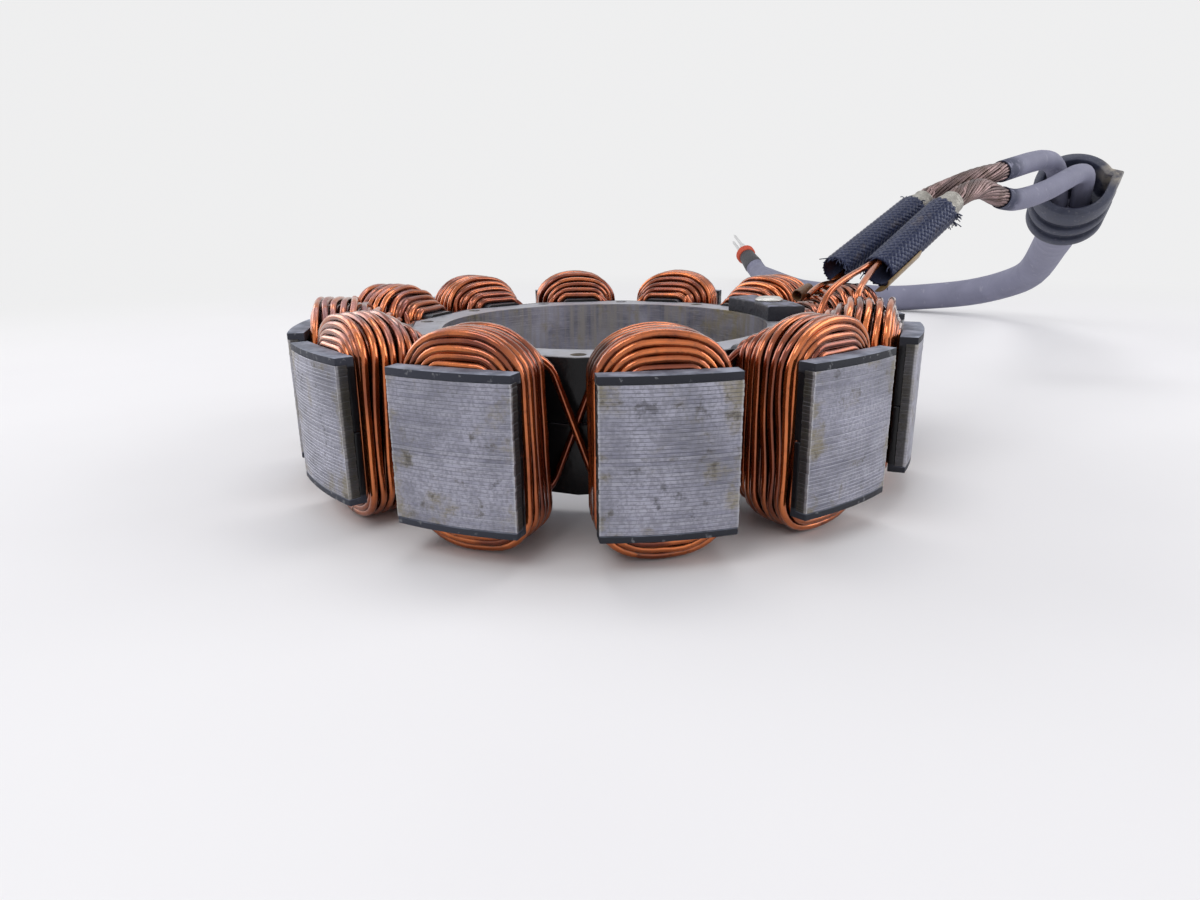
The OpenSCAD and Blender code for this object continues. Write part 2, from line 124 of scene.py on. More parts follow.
class Finish:
    """One material: a Principled shader and the sums that feed it."""

    def __init__(self, name, **constants):
        self.material = bpy.data.materials.new(name)
        self.material.use_nodes = True
        self.tree = self.material.node_tree
        self.shader = self.tree.nodes["Principled BSDF"]
        for key, value in constants.items():
            self.shader.inputs[key.replace("_", " ")].default_value = value
        place = self.node("ShaderNodeTexCoord", output="Object")
        self.spot = self.node("ShaderNodeVectorMath", {"operation": "SCALE"}, {0: place, "Scale": 1 / MM})
        self.normal = self.node("ShaderNodeNewGeometry", output="Normal")

    def node(self, kind, settings=None, sockets=None, output=0):
        made = self.tree.nodes.new(kind)
        for key, value in (settings or {}).items():
            setattr(made, key, value)
        for key, value in (sockets or {}).items():
            if isinstance(value, Signal):
                self.tree.links.new(value.socket, made.inputs[key])
            else:
                made.inputs[key].default_value = value
        return Signal(self, made.outputs[output])

    def math(self, operation, *values):
        return self.node("ShaderNodeMath", {"operation": operation}, dict(enumerate(values)))

    def axis(self, vector, number):
        return self.node("ShaderNodeSeparateXYZ", sockets={0: vector}, output=number)

    def stretched(self, x, y, z):
        return self.node("ShaderNodeVectorMath", {"operation": "MULTIPLY"}, {0: self.spot, 1: (x, y, z)})

    def noise(self, scale, detail=3.0, where=None, roughness=0.55):
        sockets = {"Vector": where or self.spot, "Scale": scale, "Detail": detail, "Roughness": roughness}
        return self.node("ShaderNodeTexNoise", sockets=sockets)

    def ease(self, value, low, high):
        """0 at low, 1 at high, and smooth between them."""
        sockets = {"Value": value, "From Min": low, "From Max": high}
        return self.node("ShaderNodeMapRange", {"interpolation_type": "SMOOTHSTEP"}, sockets)

    def upward(self, low, high):
        """1 on surfaces that look up, 0 on those that stand."""
        return self.ease(self.axis(self.normal, 2), low, high)

    def near(self, middle, inner, outer):
        """1 inside the inner radius about a point, 0 outside the outer one."""
        settings = {"operation": "DISTANCE"}
        gap = self.node("ShaderNodeVectorMath", settings, {0: self.spot, 1: middle}, "Value")
        return 1 - self.ease(gap, inner, outer)

    def attribute(self, name):
        return self.node("ShaderNodeAttribute", {"attribute_name": name}, output="Fac")

    def mix(self, amount, first, second):
        first, second = (c if isinstance(c, Signal) else shade(*c) for c in (first, second))
        sockets = {MIX_SHARE: amount, MIX_FIRST: first, MIX_SECOND: second}
        return self.node("ShaderNodeMix", {"data_type": "RGBA"}, sockets, MIX_RESULT)

    def over(self, body, *coats):
        """Lays tints over a colour, each by its own amount."""
        for amount, tint in coats:
            body = self.mix(amount, body, tint)
        return body

    def bump(self, height, depth):
        sockets = {"Strength": 1.0, "Distance": depth * MM, "Height": height}
        self.feed(Normal=self.node("ShaderNodeBump", sockets=sockets))

    def feed(self, **signals):
        for key, signal in signals.items():
            self.tree.links.new(signal.socket, self.shader.inputs[key.replace("_", " ")])


def shade(red, green, blue):
    return (red, green, blue, 1.0)


def two_tone(name, scale, dark, light, rough, relief, squeeze=1.0, **constants):
    """A finish between two colours, with its roughness (least, range) and its relief (scale, detail, depth)."""
    made = Finish(name, **constants)
    wear = made.noise(scale, detail=5)
    made.feed(Base_Color=made.mix(wear, dark, light), Roughness=rough[0] + rough[1] * wear)
    made.bump(made.noise(relief[0], relief[1], made.stretched(1, 1, squeeze)), relief[2])
    return made


print("a finish can use:", [name for name in vars(Finish) if not name.startswith("_")])

# %% [markdown]
# ## Stage and light
# The floor is pale and matte and fades to the white of the surroundings a hand's width behind the object, so
# there is no horizon. Five soft lamps give the wires their long highlights. A studio picture could have hard
# lamps, but daylight through a window is what the real object lies in.

# %% Stage and light
GROUND_Z, FLOOR_DROP, FLOOR_HALF = -15.025, 0.1, 4000
WHITE = shade(0.86, 0.86, 0.864)
SKY, SKY_STRENGTH = shade(0.945, 0.95, 0.985), 0.47
LAMPS = [
    ("window", (-260, -260, 420), (0, 0, 0), (0.3, 0.2), 0.72),
    ("ceiling", (60, 160, 520), (20, 20, 0), (0.42, 0.16), 0.7),
    ("front fill", (160, -420, 140), (0, 0, 0), (0.4, 0.3), 0.12),
    ("left wall", (-540, 360, 300), (-40, -20, 0), (0.5, 0.4), 1.6),
    ("right wall", (600, -120, 300), (40, -30, 0), (0.5, 0.4), 1.65),
]


def direct_sight(tree):
    """A socket that is 1 for camera, glossy and transmission rays, and 0 for light on matte surfaces."""
    path = tree.nodes.new("ShaderNodeLightPath")
    total = path.outputs["Is Camera Ray"]
    for name in ("Is Glossy Ray", "Is Transmission Ray"):
        both = tree.nodes.new("ShaderNodeMath")
        both.use_clamp = True
        tree.links.new(total, both.inputs[0])
        tree.links.new(path.outputs[name], both.inputs[1])
        total = both.outputs[0]
    return total


def pale_floor():
    low = (GROUND_Z - FLOOR_DROP) * MM
    signs = ((-1, -1), (1, -1), (1, 1), (-1, 1))
    mesh = bpy.data.meshes.new("floor")
    mesh.from_pydata([(x * FLOOR_HALF * MM, y * FLOOR_HALF * MM, low) for x, y in signs], [], [(0, 1, 2, 3)])
    floor = bpy.data.objects.new("floor", mesh)
    bpy.context.scene.collection.objects.link(floor)
    cloth = Finish("pale floor", Roughness=0.95)
    cloth.feed(Base_Color=cloth.mix(cloth.noise(0.012), (0.805, 0.795, 0.812), (0.865, 0.857, 0.868)))
    sight = Signal(cloth, direct_sight(cloth.tree))
    far = 1 - cloth.near((30, 20, GROUND_Z), 150, 420)
    glow = cloth.node("ShaderNodeEmission", sockets={"Color": WHITE})
    lit = Signal(cloth, cloth.shader.outputs[0])
    blend = cloth.node("ShaderNodeMixShader", sockets={0: far * sight, 1: lit, 2: glow})
    cloth.tree.links.new(blend.socket, cloth.tree.nodes["Material Output"].inputs["Surface"])
    mesh.materials.append(cloth.material)


def soft_lamp(name, place, target, size, power):
    lamp = bpy.data.objects.new(name, bpy.data.lights.new(name, "AREA"))
    lamp.data.shape = "RECTANGLE"
    lamp.data.size, lamp.data.size_y = size
    lamp.data.energy = power
    aim = (Vector(target) - Vector(place)).normalized().to_track_quat("-Z", "Y")
    lamp.matrix_world = Matrix.Translation(Vector(place) * MM) @ aim.to_matrix().to_4x4()
    bpy.context.scene.collection.objects.link(lamp)


def surroundings():
    world = bpy.data.worlds.new("surroundings")
    world.use_nodes = True
    bpy.context.scene.world = world
    tree = world.node_tree
    ground = tree.nodes["Background"]
    ground.inputs["Color"].default_value = SKY
    ground.inputs["Strength"].default_value = SKY_STRENGTH
    seen = tree.nodes.new("ShaderNodeBackground")
    seen.inputs["Color"].default_value = WHITE
    mixed = tree.nodes.new("ShaderNodeMixShader")
    for number, source in enumerate((direct_sight(tree), ground.outputs[0], seen.outputs[0])):
        tree.links.new(source, mixed.inputs[number])
    tree.links.new(mixed.outputs[0], tree.nodes["World Output"].inputs["Surface"])


pale_floor()
surroundings()
for lamp in LAMPS:
    soft_lamp(*lamp)
print("floor at", GROUND_Z, "mm and", len(LAMPS), "lamps")

# %% [markdown]
# ## Swept wire with Geometry Nodes
# Coils, leads, strands and threads are all one thing: a round section carried along a line. Each line is a mesh
# of edges made in Python, and one node tree turns it into a tube, with the diameter and the number of sides as
# named inputs. A bevelled curve object could do the same, but the tree keeps the point attributes that the
# finishes read.


# %% Swept wire
def new_tree(name, **inputs):
    """A node tree with named inputs: the tree, its input sockets and the node that takes its result."""
    tree = bpy.data.node_groups.new(name, "GeometryNodeTree")
    tree.interface.new_socket("Geometry", in_out="OUTPUT", socket_type="NodeSocketGeometry")
    for title, kind in {"Geometry": "Geometry", **inputs, "Material": "Material"}.items():
        tree.interface.new_socket(title.replace("_", " "), in_out="INPUT", socket_type="NodeSocket" + kind)
    return tree, tree.nodes.new("NodeGroupInput").outputs, tree.nodes.new("NodeGroupOutput")


def chain(tree, kind, *links, **settings):
    """Adds a node, sets it up, and gives each input its value or its link; a node gives its first output."""
    made = tree.nodes.new(kind)
    for key, value in settings.items():
        setattr(made, key, value)
    for source, name in links:
        if isinstance(source, bpy.types.Node):
            source = source.outputs[0]
        if isinstance(source, bpy.types.NodeSocket):
            tree.links.new(source, made.inputs[name])
        else:
            made.inputs[name].default_value = source
    return made


def end_tree(tree, source, given, out):
    real = chain(tree, "GeometryNodeRealizeInstances", (source, "Geometry"))
    painted = chain(tree, "GeometryNodeSetMaterial", (real, "Geometry"), (given["Material"], "Material"))
    tree.links.new(painted.outputs[0], out.inputs[0])
    return tree


def sweep_tree():
    tree, given, out = new_tree("swept wire", Wire_diameter="Float", Sides="Int")
    line = chain(tree, "GeometryNodeMeshToCurve", (given["Geometry"], "Mesh"))
    half = chain(tree, "ShaderNodeMath", (given["Wire diameter"], 0), (0.5, 1), operation="MULTIPLY")
    section = chain(tree, "GeometryNodeCurvePrimitiveCircle", (given["Sides"], "Resolution"), (half, "Radius"))
    tube = chain(tree, "GeometryNodeCurveToMesh", (line, "Curve"), (section, "Profile Curve"),
                 (True, "Fill Caps"))
    smooth = chain(tree, "GeometryNodeSetShadeSmooth", (tube, "Geometry"))
    return end_tree(tree, smooth, given, out)


SWEEP = sweep_tree()


def applied(piece, keep_layers=False):
    """Replaces a piece's mesh by the plain mesh that its modifiers make."""
    bpy.context.view_layer.update()
    depsgraph = bpy.context.evaluated_depsgraph_get()
    result = piece.evaluated_get(depsgraph)
    mesh = bpy.data.meshes.new_from_object(result, preserve_all_data_layers=keep_layers, depsgraph=depsgraph)
    piece.modifiers.clear()
    piece.data = mesh
    return piece


def through_nodes(piece, tree, **inputs):
    """Runs a node tree on a piece and keeps the result."""
    modifier = piece.modifiers.new(tree.name, "NODES")
    modifier.node_group = tree
    sockets = {s.name: s.identifier for s in tree.interface.items_tree if s.in_out == "INPUT"}
    for name, value in inputs.items():
        modifier[sockets[name.replace("_", " ")]] = value
    return applied(piece, keep_layers=True)


def new_piece(name, points, edges=(), faces=()):
    mesh = bpy.data.meshes.new(name)
    mesh.from_pydata([Vector(p) * MM for p in points], list(edges), list(faces))
    piece = bpy.data.objects.new(name, mesh)
    bpy.context.scene.collection.objects.link(piece)
    return piece


def wires(name, lines, diameter, sides, finish, tones=None):
    """One piece of swept wire that follows each line; tones gives every line's points a shade from 0 to 1."""
    edges, start = [], 0
    for line in lines:
        edges += [(i, i + 1) for i in range(start, start + len(line) - 1)]
        start += len(line)
    piece = new_piece(name, [p for line in lines for p in line], edges)
    if tones:
        layer = piece.data.attributes.new("tone", "FLOAT", "POINT")
        layer.data.foreach_set("value", [t for line in tones for t in line])
    return through_nodes(piece, SWEEP, Wire_diameter=diameter * MM, Sides=sides, Material=finish.material)


def settle(piece, slot, *nodes):
    """The piece rides on the stator and stands for its solids; the slot is not used."""
    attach(piece, "root")
    if nodes:
        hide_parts(*nodes)
    return piece


def through(points, count):
    """A smooth curve through points, with count steps for each span."""
    p = [Vector(q) for q in points]
    line = []
    for i in range(len(p) - 1):
        a, b, c, d = p[max(i - 1, 0)], p[i], p[i + 1], p[min(i + 2, len(p) - 1)]
        for k in range(count):
            t = k / count
            line.append(0.5 * (2 * b + (c - a) * t + (2 * a - 5 * b + 4 * c - d) * t * t
                               + (3 * b - a - 3 * c + d) * t * t * t))
    return line + [p[-1]]


def line_length(line):
    return sum((b - a).length for a, b in zip(line, line[1:]))


print("node trees:", [g.name for g in bpy.data.node_groups])

# %% [markdown]
# ## Output cable
# The cable is a stiff rubber-covered lead that leaves the grommet, drops to the surface and swings round behind
# the coils. Its route repeats the points of the solid. The rubber is matte and slightly violet, with scuffs, and
# with oil where the insulation of the two conductors is cut.

# %% Output cable
LEAD_BASE = Vector((54, 0, 0.85 - GROUND_Z))
JACKET_D, CONDUCTOR_D = 10.6, 4.6
FRONT_CUT, REAR_CUT = LEAD_BASE + Vector((34.9, 20.6, 14.7)), LEAD_BASE + Vector((37.3, 25.4, 20.1))
MOUTH = LEAD_BASE + Vector((70.5, 44.8, 18))
MOUTH_WAY = Vector((0.42, 0.7, -0.577)).normalized()
JACKET_START = MOUTH + 9 * MOUTH_WAY
GROMMET_END = MOUTH + 16.8 * MOUTH_WAY
CABLE_ROUTE = [
    (158, 95, 26), (177, 128, 15), (181, 147, 9), (177, 165, 4), (165, 180, 1), (155, 187, 0), (146, 194, 0),
    (136, 205, 0), (131, 219, 0), (130, 234, 0), (134, 264, 0), (139, 295, 0), (144, 325, 0),
    (146.4, 337.5, 0.8), (146, 343, 3.2),
]


def grey_rubber():
    made = Finish("grey lead rubber", Specular_IOR_Level=0.35)
    grain = made.noise(2.5, detail=5)
    scuffs = made.ease(made.noise(0.5, where=made.stretched(1, 1, 0.4)), 0.6, 0.72)
    oily = made.near(FRONT_CUT, 2.8, 5.5) + made.near(REAR_CUT, 3.0, 8.0)
    oily = 0.9 * oily * made.ease(made.noise(0.6, detail=4), 0.3, 0.5)
    body = made.mix(made.noise(0.12), (0.145, 0.146, 0.205), (0.25, 0.252, 0.345))
    body = made.over(body, (scuffs * 0.45, (0.33, 0.335, 0.41)), (oily, (0.028, 0.033, 0.068)))
    made.feed(Base_Color=body, Roughness=0.55 + 0.25 * grain)
    made.bump(grain, 0.06)
    return made


LEAD_RUBBER = grey_rubber()
on_floor = [(x, y, JACKET_D / 2 + GROUND_Z + z) for x, y, z in CABLE_ROUTE]
cable_line = through([JACKET_START, GROMMET_END] + on_floor, 4)
cable = wires("output_cable", [cable_line], JACKET_D, 28, LEAD_RUBBER)
settle(cable, "lead_insulation", "cable_jacket")
cable_length = line_length(cable_line)
print("cable length", round(cable_length, 1), "mm")

# %% [markdown]
# ## Laminated core
# The core is 38 thin sheets pressed together. One sheet is drawn with its twelve poles and a small bevel on its
# edges, and Geometry Nodes stack the copies, each a hair out of line, which gives the pole faces their lines and
# their rough side edges. The bore is machined after stacking, so the sheets lie almost flush there. A bump map
# could draw the lines, but it would leave the edges perfectly straight.

# %% Sheet outline
POLES = 12
HALF_STEP = math.radians(15)
FACE_R, BORE_R, YOKE_R, ROOT_R = 54.0, 29.0, 34.2, 51.8
TOOTH_HALF, SHOE_HALF, TIP_T = 3.3, 8.9, 1.6
YOKE_CORNER = YOKE_R / math.cos(HALF_STEP)
TIP_R = math.sqrt(FACE_R ** 2 - SHOE_HALF ** 2) - TIP_T
SHEET_T, SHEETS = 0.5, 38
HALF_H = SHEET_T * SHEETS / 2
SHEET_BEVEL, SHEET_AIR, HOLE_BEVEL = 0.1, 0.006, 0.1


def pole_angle(number):
    return math.radians((number - 1) * 30 - 90)


def turned(x, y, angle):
    return (x * math.cos(angle) - y * math.sin(angle), x * math.sin(angle) + y * math.cos(angle))


def round_of(count):
    """Angles of points that stand evenly on a circle."""
    return [math.tau * k / count for k in range(count)]


def round_hole(x, y, radius, count):
    return [(x + radius * math.cos(a), y - radius * math.sin(a)) for a in round_of(count)]


def sheet_outline():
    reach = math.asin(SHOE_HALF / FACE_R)
    arc = [(FACE_R * math.cos(a), FACE_R * math.sin(a)) for a in (reach * (k / 6 - 1) for k in range(13))]
    low = [(YOKE_R, -TOOTH_HALF), (ROOT_R, -TOOTH_HALF), (TIP_R, -SHOE_HALF)]
    pole = [turned(YOKE_CORNER, 0, -HALF_STEP)] + low + arc + [(x, -y) for x, y in reversed(low)]
    return [turned(x, y, pole_angle(n)) for n in range(1, POLES + 1) for x, y in pole]


def moved_in(loop, depth):
    """A loop with each corner moved to its left by depth."""
    out = []
    for i, here in enumerate(loop):
        before, after = Vector(loop[i - 1]), Vector(loop[(i + 1) % len(loop)])
        way = (Vector(here) - before).normalized() + (after - Vector(here)).normalized()
        way = way.normalized() if way.length > 1e-6 else Vector((1, 0))
        out.append((here[0] - way.y * depth, here[1] + way.x * depth))
    return out


def sheet_mesh(name, holes, thick=SHEET_T, foot=0.0):
    """A closed sheet with bevelled edges, standing on the height foot."""
    loops = [sheet_outline()] + holes
    bevel, top = SHEET_BEVEL * thick, foot + thick - SHEET_AIR
    points, faces, starts = [], [], []
    for z, depth in ((foot, bevel), (foot + bevel, 0), (top - bevel, 0), (top, bevel)):
        starts.append(len(points))
        for loop in loops:
            inset = depth if loop is loops[0] else HOLE_BEVEL * depth
            points += [(x, y, z) for x, y in moved_in(loop, inset)]
    for low, high in zip(starts, starts[1:]):
        at = 0
        for loop in loops:
            pairs = [(at + i, at + (i + 1) % len(loop)) for i in range(len(loop))]
            faces += [(low + i, low + j, high + j, high + i) for i, j in pairs]
            at += len(loop)
    flat = [[Vector((x, y, 0)) for x, y in loop] for loop in loops]
    for start, upward in ((starts[0], False), (starts[-1], True)):
        for corners in tessellate_polygon(flat):
            tri = tuple(start + c for c in corners)
            pa, pb, pc = (Vector(points[i]) for i in tri)
            faces.append(tri if ((pb - pa).cross(pc - pa).z > 0) == upward else tri[::-1])
    return new_piece(name, points, faces=faces)


def stack_tree():
    tree, given, out = new_tree("stacked sheets", Count="Int", Pitch="Float", Slip="Float", Turn="Float")

    def random_vector(low, high, seed, scale):
        drawn = chain(tree, "FunctionNodeRandomValue", (low, 0), (high, 1), (seed, "Seed"),
                      data_type="FLOAT_VECTOR")
        return chain(tree, "ShaderNodeVectorMath", (drawn, 0), (given[scale], "Scale"), operation="SCALE")

    rise = chain(tree, "ShaderNodeCombineXYZ", (given["Pitch"], "Z"))
    places = chain(tree, "GeometryNodeMeshLine", (given["Count"], "Count"), (rise, "Offset"))
    copies = chain(tree, "GeometryNodeInstanceOnPoints", (places, "Points"), (given["Geometry"], "Instance"))
    slip = random_vector((-1, -1, 0), (1, 1, 0), 3, "Slip")
    moved = chain(tree, "GeometryNodeTranslateInstances", (copies, "Instances"), (slip, "Translation"))
    turn = random_vector((0, 0, -1), (0, 0, 1), 8, "Turn")
    spun = chain(tree, "GeometryNodeRotateInstances", (moved, "Instances"), (turn, "Rotation"))
    return end_tree(tree, spun, given, out)


print("one sheet has", len(sheet_outline()), "corners")

# %% [markdown]
# Bare electrical steel is grey with a violet cast. The ground pole faces carry a faint line at every joint
# between the sheets, olive oil stains towards their edges and dark scuffs. The sides of the shoes wear dark
# varnish, and the bore has upright streaks. One material does all of it: it works out the radius and the place
# on the pole, and so knows which surface it is on. Separate materials would leave hard borders at the stains.

# %% Core steel
OLIVE = (0.25, 0.205, 0.078)
SHEET_SLIP, SHEET_TURN = 0.03, math.radians(0.04)


def core_steel():
    made = Finish("core steel", Metallic=0.82)
    x, y, height = (made.axis(made.spot, n) for n in range(3))
    radius = made.math("SQRT", x * x + y * y)
    around = made.math("ARCTAN2", y, x) * (POLES / math.tau) + 0.5
    off_pole = made.math("ABSOLUTE", made.math("FRACT", around + POLES) - 0.5)
    flat = made.ease(made.math("ABSOLUTE", made.axis(made.normal, 2)), 0.5, 0.9)
    bore = 1 - made.ease(radius, 29.4, 29.9)
    wall, outside = 1 - flat, 1 - bore
    varnish = made.ease(radius, 45, 49) * (1 - made.ease(radius, 53.5, 53.8))

    sheet = (height + HALF_H) / SHEET_T
    saw = made.math("FRACT", sheet)
    line = (1 - made.ease(saw, 0.02, 0.15) + made.ease(saw, 0.85, 0.98)) * wall
    number = made.math("FLOOR", sheet)
    tone = made.node("ShaderNodeTexWhiteNoise", {"noise_dimensions": "1D"}, {"W": number})
    clouds = made.noise(0.13, detail=5)
    brushed = made.noise(0.7, where=made.stretched(0.5, 0.5, 5), detail=4)
    upright = made.noise(1.1, where=made.stretched(1, 1, 0.05), detail=4)
    pricked = made.noise(2.4, where=made.stretched(1, 1, 0.8), detail=2)
    blotch = made.noise(0.09, detail=7, roughness=0.62)
    oil = made.noise(0.21, detail=7, roughness=0.65)

    edge = made.ease(off_pole, 0.19, 0.31) * outside
    end = made.ease(made.math("ABSOLUTE", height), 6.5, 9.4)
    soak = made.ease(oil + 0.09 * edge + 0.05 * end, 0.55, 0.74)
    scuff = made.ease(made.noise(0.42, detail=7, roughness=0.65), 0.58, 0.68)
    crumb = made.ease(made.noise(1.7, detail=4), 0.68, 0.74)
    # Painted highlight: a bright dotted line along the side edges of the ground pole faces.
    rim = made.ease(off_pole, 0.304, 0.3145) * made.ease(radius, 53.0, 53.6) * wall
    stain = bore * made.near((26.5, 11.0, 7.8), 3.0, 9.5) * made.ease(oil, 0.3, 0.6)
    grey = made.mix(made.ease(clouds, 0.3, 0.7), (0.165, 0.167, 0.215), (0.315, 0.315, 0.39))
    aged = made.mix(clouds, (0.015, 0.015, 0.016), (0.052, 0.048, 0.038))
    grey = made.over(
        grey,
        (0.6 * made.ease(blotch, 0.48, 0.64) * wall, (0.46, 0.455, 0.55)),
        (0.55 * made.ease(blotch, 0.5, 0.36) * wall, (0.115, 0.115, 0.145)),
        (0.3 * tone * wall * outside, (0.46, 0.46, 0.515)),
        (0.5 * made.ease(brushed, 0.45, 0.7), (0.40, 0.40, 0.46)),
        (0.5 * made.ease(pricked, 0.42, 0.62) * wall * outside, (0.175, 0.173, 0.20)),
        (bore * made.ease(upright, 0.35, 0.7), (0.32, 0.305, 0.295)),
        # Painted light: faces that lie flat are made paler, as if lit from above.
        (0.6 * flat, (0.40, 0.41, 0.45)),
        (0.55 * soak * (1 - 0.75 * flat), OLIVE),
        (0.55 * scuff * outside, (0.055, 0.053, 0.058)),
        (crumb * (0.25 + 0.4 * edge) * outside, (0.06, 0.045, 0.03)),
        # Painted highlight on the edges of the pole faces.
        (0.75 * rim * pricked, (0.62, 0.62, 0.64)),
        (0.85 * varnish * (1 - 0.6 * flat), aged),
        (0.5 * stain, OLIVE),
        (line * (0.27 - 0.26 * bore) * (0.4 + pricked), (0.05, 0.048, 0.05)))
    made.feed(Base_Color=grey, Roughness=0.4 + 0.16 * brushed + 0.1 * soak - 0.08 * bore)
    made.bump(brushed + 0.4 * upright * bore, 0.02)
    return made


CORE_STEEL = core_steel()
bore = round_hole(0, 0, BORE_R, 96)
core = sheet_mesh("laminated_core", [bore])
through_nodes(core, stack_tree(), Count=SHEETS - 2, Pitch=SHEET_T * MM, Slip=SHEET_SLIP * MM, Turn=SHEET_TURN,
              Material=CORE_STEEL.material)
core.data.transform(Matrix.Translation((0, 0, SHEET_T * MM)))
print("stack of", SHEETS - 2, "sheets:", len(core.data.polygons), "faces")

# %% [markdown]
# The end sheets differ from the rest: the top one has round dimples and a hole for the rivet, and the bottom one
# is cut back round the bore. They are made like the others and joined to the stack.

# %% Top and bottom sheets
SEAT_R, SEAT_DEPTH = 33.2, 0.2
DIMPLE_R, DIMPLE_AT = 1.2, YOKE_CORNER - 2.2
RIVET_R, RIVET_AT, RIVET_ANGLE = 1.45, 32.35, math.radians(6)
dimple_spots = [turned(DIMPLE_AT, 0, pole_angle(n) + HALF_STEP) for n in range(1, POLES + 1)]
dimples = [round_hole(x, y, DIMPLE_R, 20) for x, y in dimple_spots]
rivet_hole = round_hole(*turned(RIVET_AT, 0, RIVET_ANGLE), RIVET_R, 20)
seat = round_hole(0, 0, SEAT_R, 96)
end_sheets = [
    sheet_mesh("top_sheet", [bore, rivet_hole] + dimples, foot=SHEET_T * (SHEETS - 1)),
    sheet_mesh("bottom_sheet", [bore], SHEET_T - SEAT_DEPTH, SEAT_DEPTH),
    sheet_mesh("seat_sheet", [seat], SEAT_DEPTH),
]


def painted(piece, finish):
    """Gives the whole piece one finish."""
    piece.data.materials.clear()
    piece.data.materials.append(finish.material)
    piece.data.polygons.foreach_set("material_index", [0] * len(piece.data.polygons))
    return piece


@contextmanager
def edited(piece):
    """Opens a piece's mesh for editing and writes it back."""
    shape = bmesh.new()
    shape.from_mesh(piece.data)
    yield shape
    shape.to_mesh(piece.data)
    shape.free()


def joined(keeper, *others):
    """Adds the meshes of other pieces to the keeper."""
    with edited(keeper) as whole:
        for other in others:
            whole.from_mesh(other.data)
            bpy.data.objects.remove(other)
    return keeper


painted(joined(core, *end_sheets), CORE_STEEL)
core.data.transform(Matrix.Translation((0, 0, -HALF_H * MM)))
core.data.shade_smooth()
core.data.set_sharp_from_angle(angle=math.radians(25))
settle(core, "core_steel", "lamination_stack")
print("core with its end sheets:", len(core.data.polygons), "faces")

# %% [markdown]
# ## Moulded insulators
# Two black mouldings line the slots and plate the ends of the poles. Their solids already have the right form, so
# a copy is merged and its edges are rounded with a bevel, because real mouldings have no razor edges and a
# rounded edge catches the light. The gloss shows in the slots, and a grey-blue dust lies on the plates.


# %% Rounded copies of solids
def rounded_copy(name, node, width, segments=2, angle=35):
    """A copy of a solid's mesh with merged corners and rounded edges."""
    shape = bmesh.new()
    shape.from_mesh(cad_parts[node].data)
    bmesh.ops.remove_doubles(shape, verts=shape.verts, dist=0.002 * MM)
    bmesh.ops.dissolve_limit(shape, angle_limit=math.radians(0.6), verts=shape.verts, edges=shape.edges)
    piece = new_piece(name, [])
    shape.to_mesh(piece.data)
    shape.free()
    edge = piece.modifiers.new("rounding", "BEVEL")
    edge.width = width * MM
    edge.segments = segments
    edge.limit_method = "ANGLE"
    edge.angle_limit = math.radians(angle)
    edge.use_clamp_overlap = True
    applied(piece)
    piece.data.shade_smooth()
    piece.data.set_sharp_from_angle(angle=math.radians(40))
    return piece


def moulded_black():
    made = Finish("moulded black", Specular_IOR_Level=0.22)
    dust = made.noise(0.35, detail=6)
    chips = made.ease(made.noise(0.9, detail=5), 0.6, 0.68)
    x, y, height = (made.axis(made.spot, n) for n in range(3))
    radius = made.math("SQRT", x * x + y * y)
    plate = made.ease(radius, 50.4, 50.9) * made.ease(made.math("ABSOLUTE", height), 9.1, 9.5)
    left = 1 - made.ease(x, -34.0, -6.0)
    settled = made.mix(made.ease(dust, 0.3, 0.7), (0.10, 0.112, 0.15), (0.33, 0.355, 0.44))
    body = made.over(
        made.mix(dust, (0.004, 0.004, 0.005), (0.012, 0.012, 0.014)),
        (plate * (0.35 + 0.45 * left), (0.045, 0.049, 0.068)),
        (made.upward(0.2, 0.9) * (0.15 + 0.75 * plate), settled),
        (0.6 * chips * plate, (0.20, 0.205, 0.22)))
    made.feed(Base_Color=body, Roughness=0.16 + 0.36 * plate + 0.16 * dust)
    made.bump(made.noise(1.2, detail=4), 0.05)
    return made


MOULDED_BLACK = moulded_black()
for half in ("upper", "lower"):
    piece = rounded_copy(half + "_insulation", half + "_insulator", 0.16)
    settle(painted(piece, MOULDED_BLACK), "moulded_black", half + "_insulator")
    print(piece.name, len(piece.data.polygons), "faces")

# %% [markdown]
# ## Layered coils
# Each tooth carries one long enamelled wire, wound in five layers, each shorter than the one below at the yoke.
# The line of that wire is worked out turn by turn: round the tooth cover, one pitch on for every turn, up a layer
# at the end of each. Hand winding is never perfect, so smooth noise lets neighbouring turns bunch and drift
# together. Then the node tree sweeps the wire. A few nested rings would be lighter, but their ends and slants
# would be missing.

# %% Wire line of a coil
WIRE_D, TURN_PITCH, LAYER_PITCH, LAYERS, TURNS = 1.15, 1.12, 0.95, 5, 13
YOKE_STEP, SHOE_STEP, WIRE_BED = 1.5, 0.25, 0.025
COVER_HALF, COVER_TOP, COVER_EDGE, COIL_GAP = 4.0, 10.0, 1.2, 0.1
CROWN_ROUND, CROWN_RISE = 0.8, 0.08
HOP_FROM, DRIFT, SWELL = 0.66, 0.95, 0.014
LAST_TURN_R = ROOT_R - 1.0 - COIL_GAP - WIRE_D / 2
HALF_ROUND = (("bend", 7), ("side", 9), ("bend", 7))
SPANS = (("end", 2), *HALF_ROUND, ("end", 4), *HALF_ROUND, ("end", 2))
STEPS = sum(count for _, count in SPANS)


def turn_r(number):
    return LAST_TURN_R - (TURNS - 1 - number) * TURN_PITCH


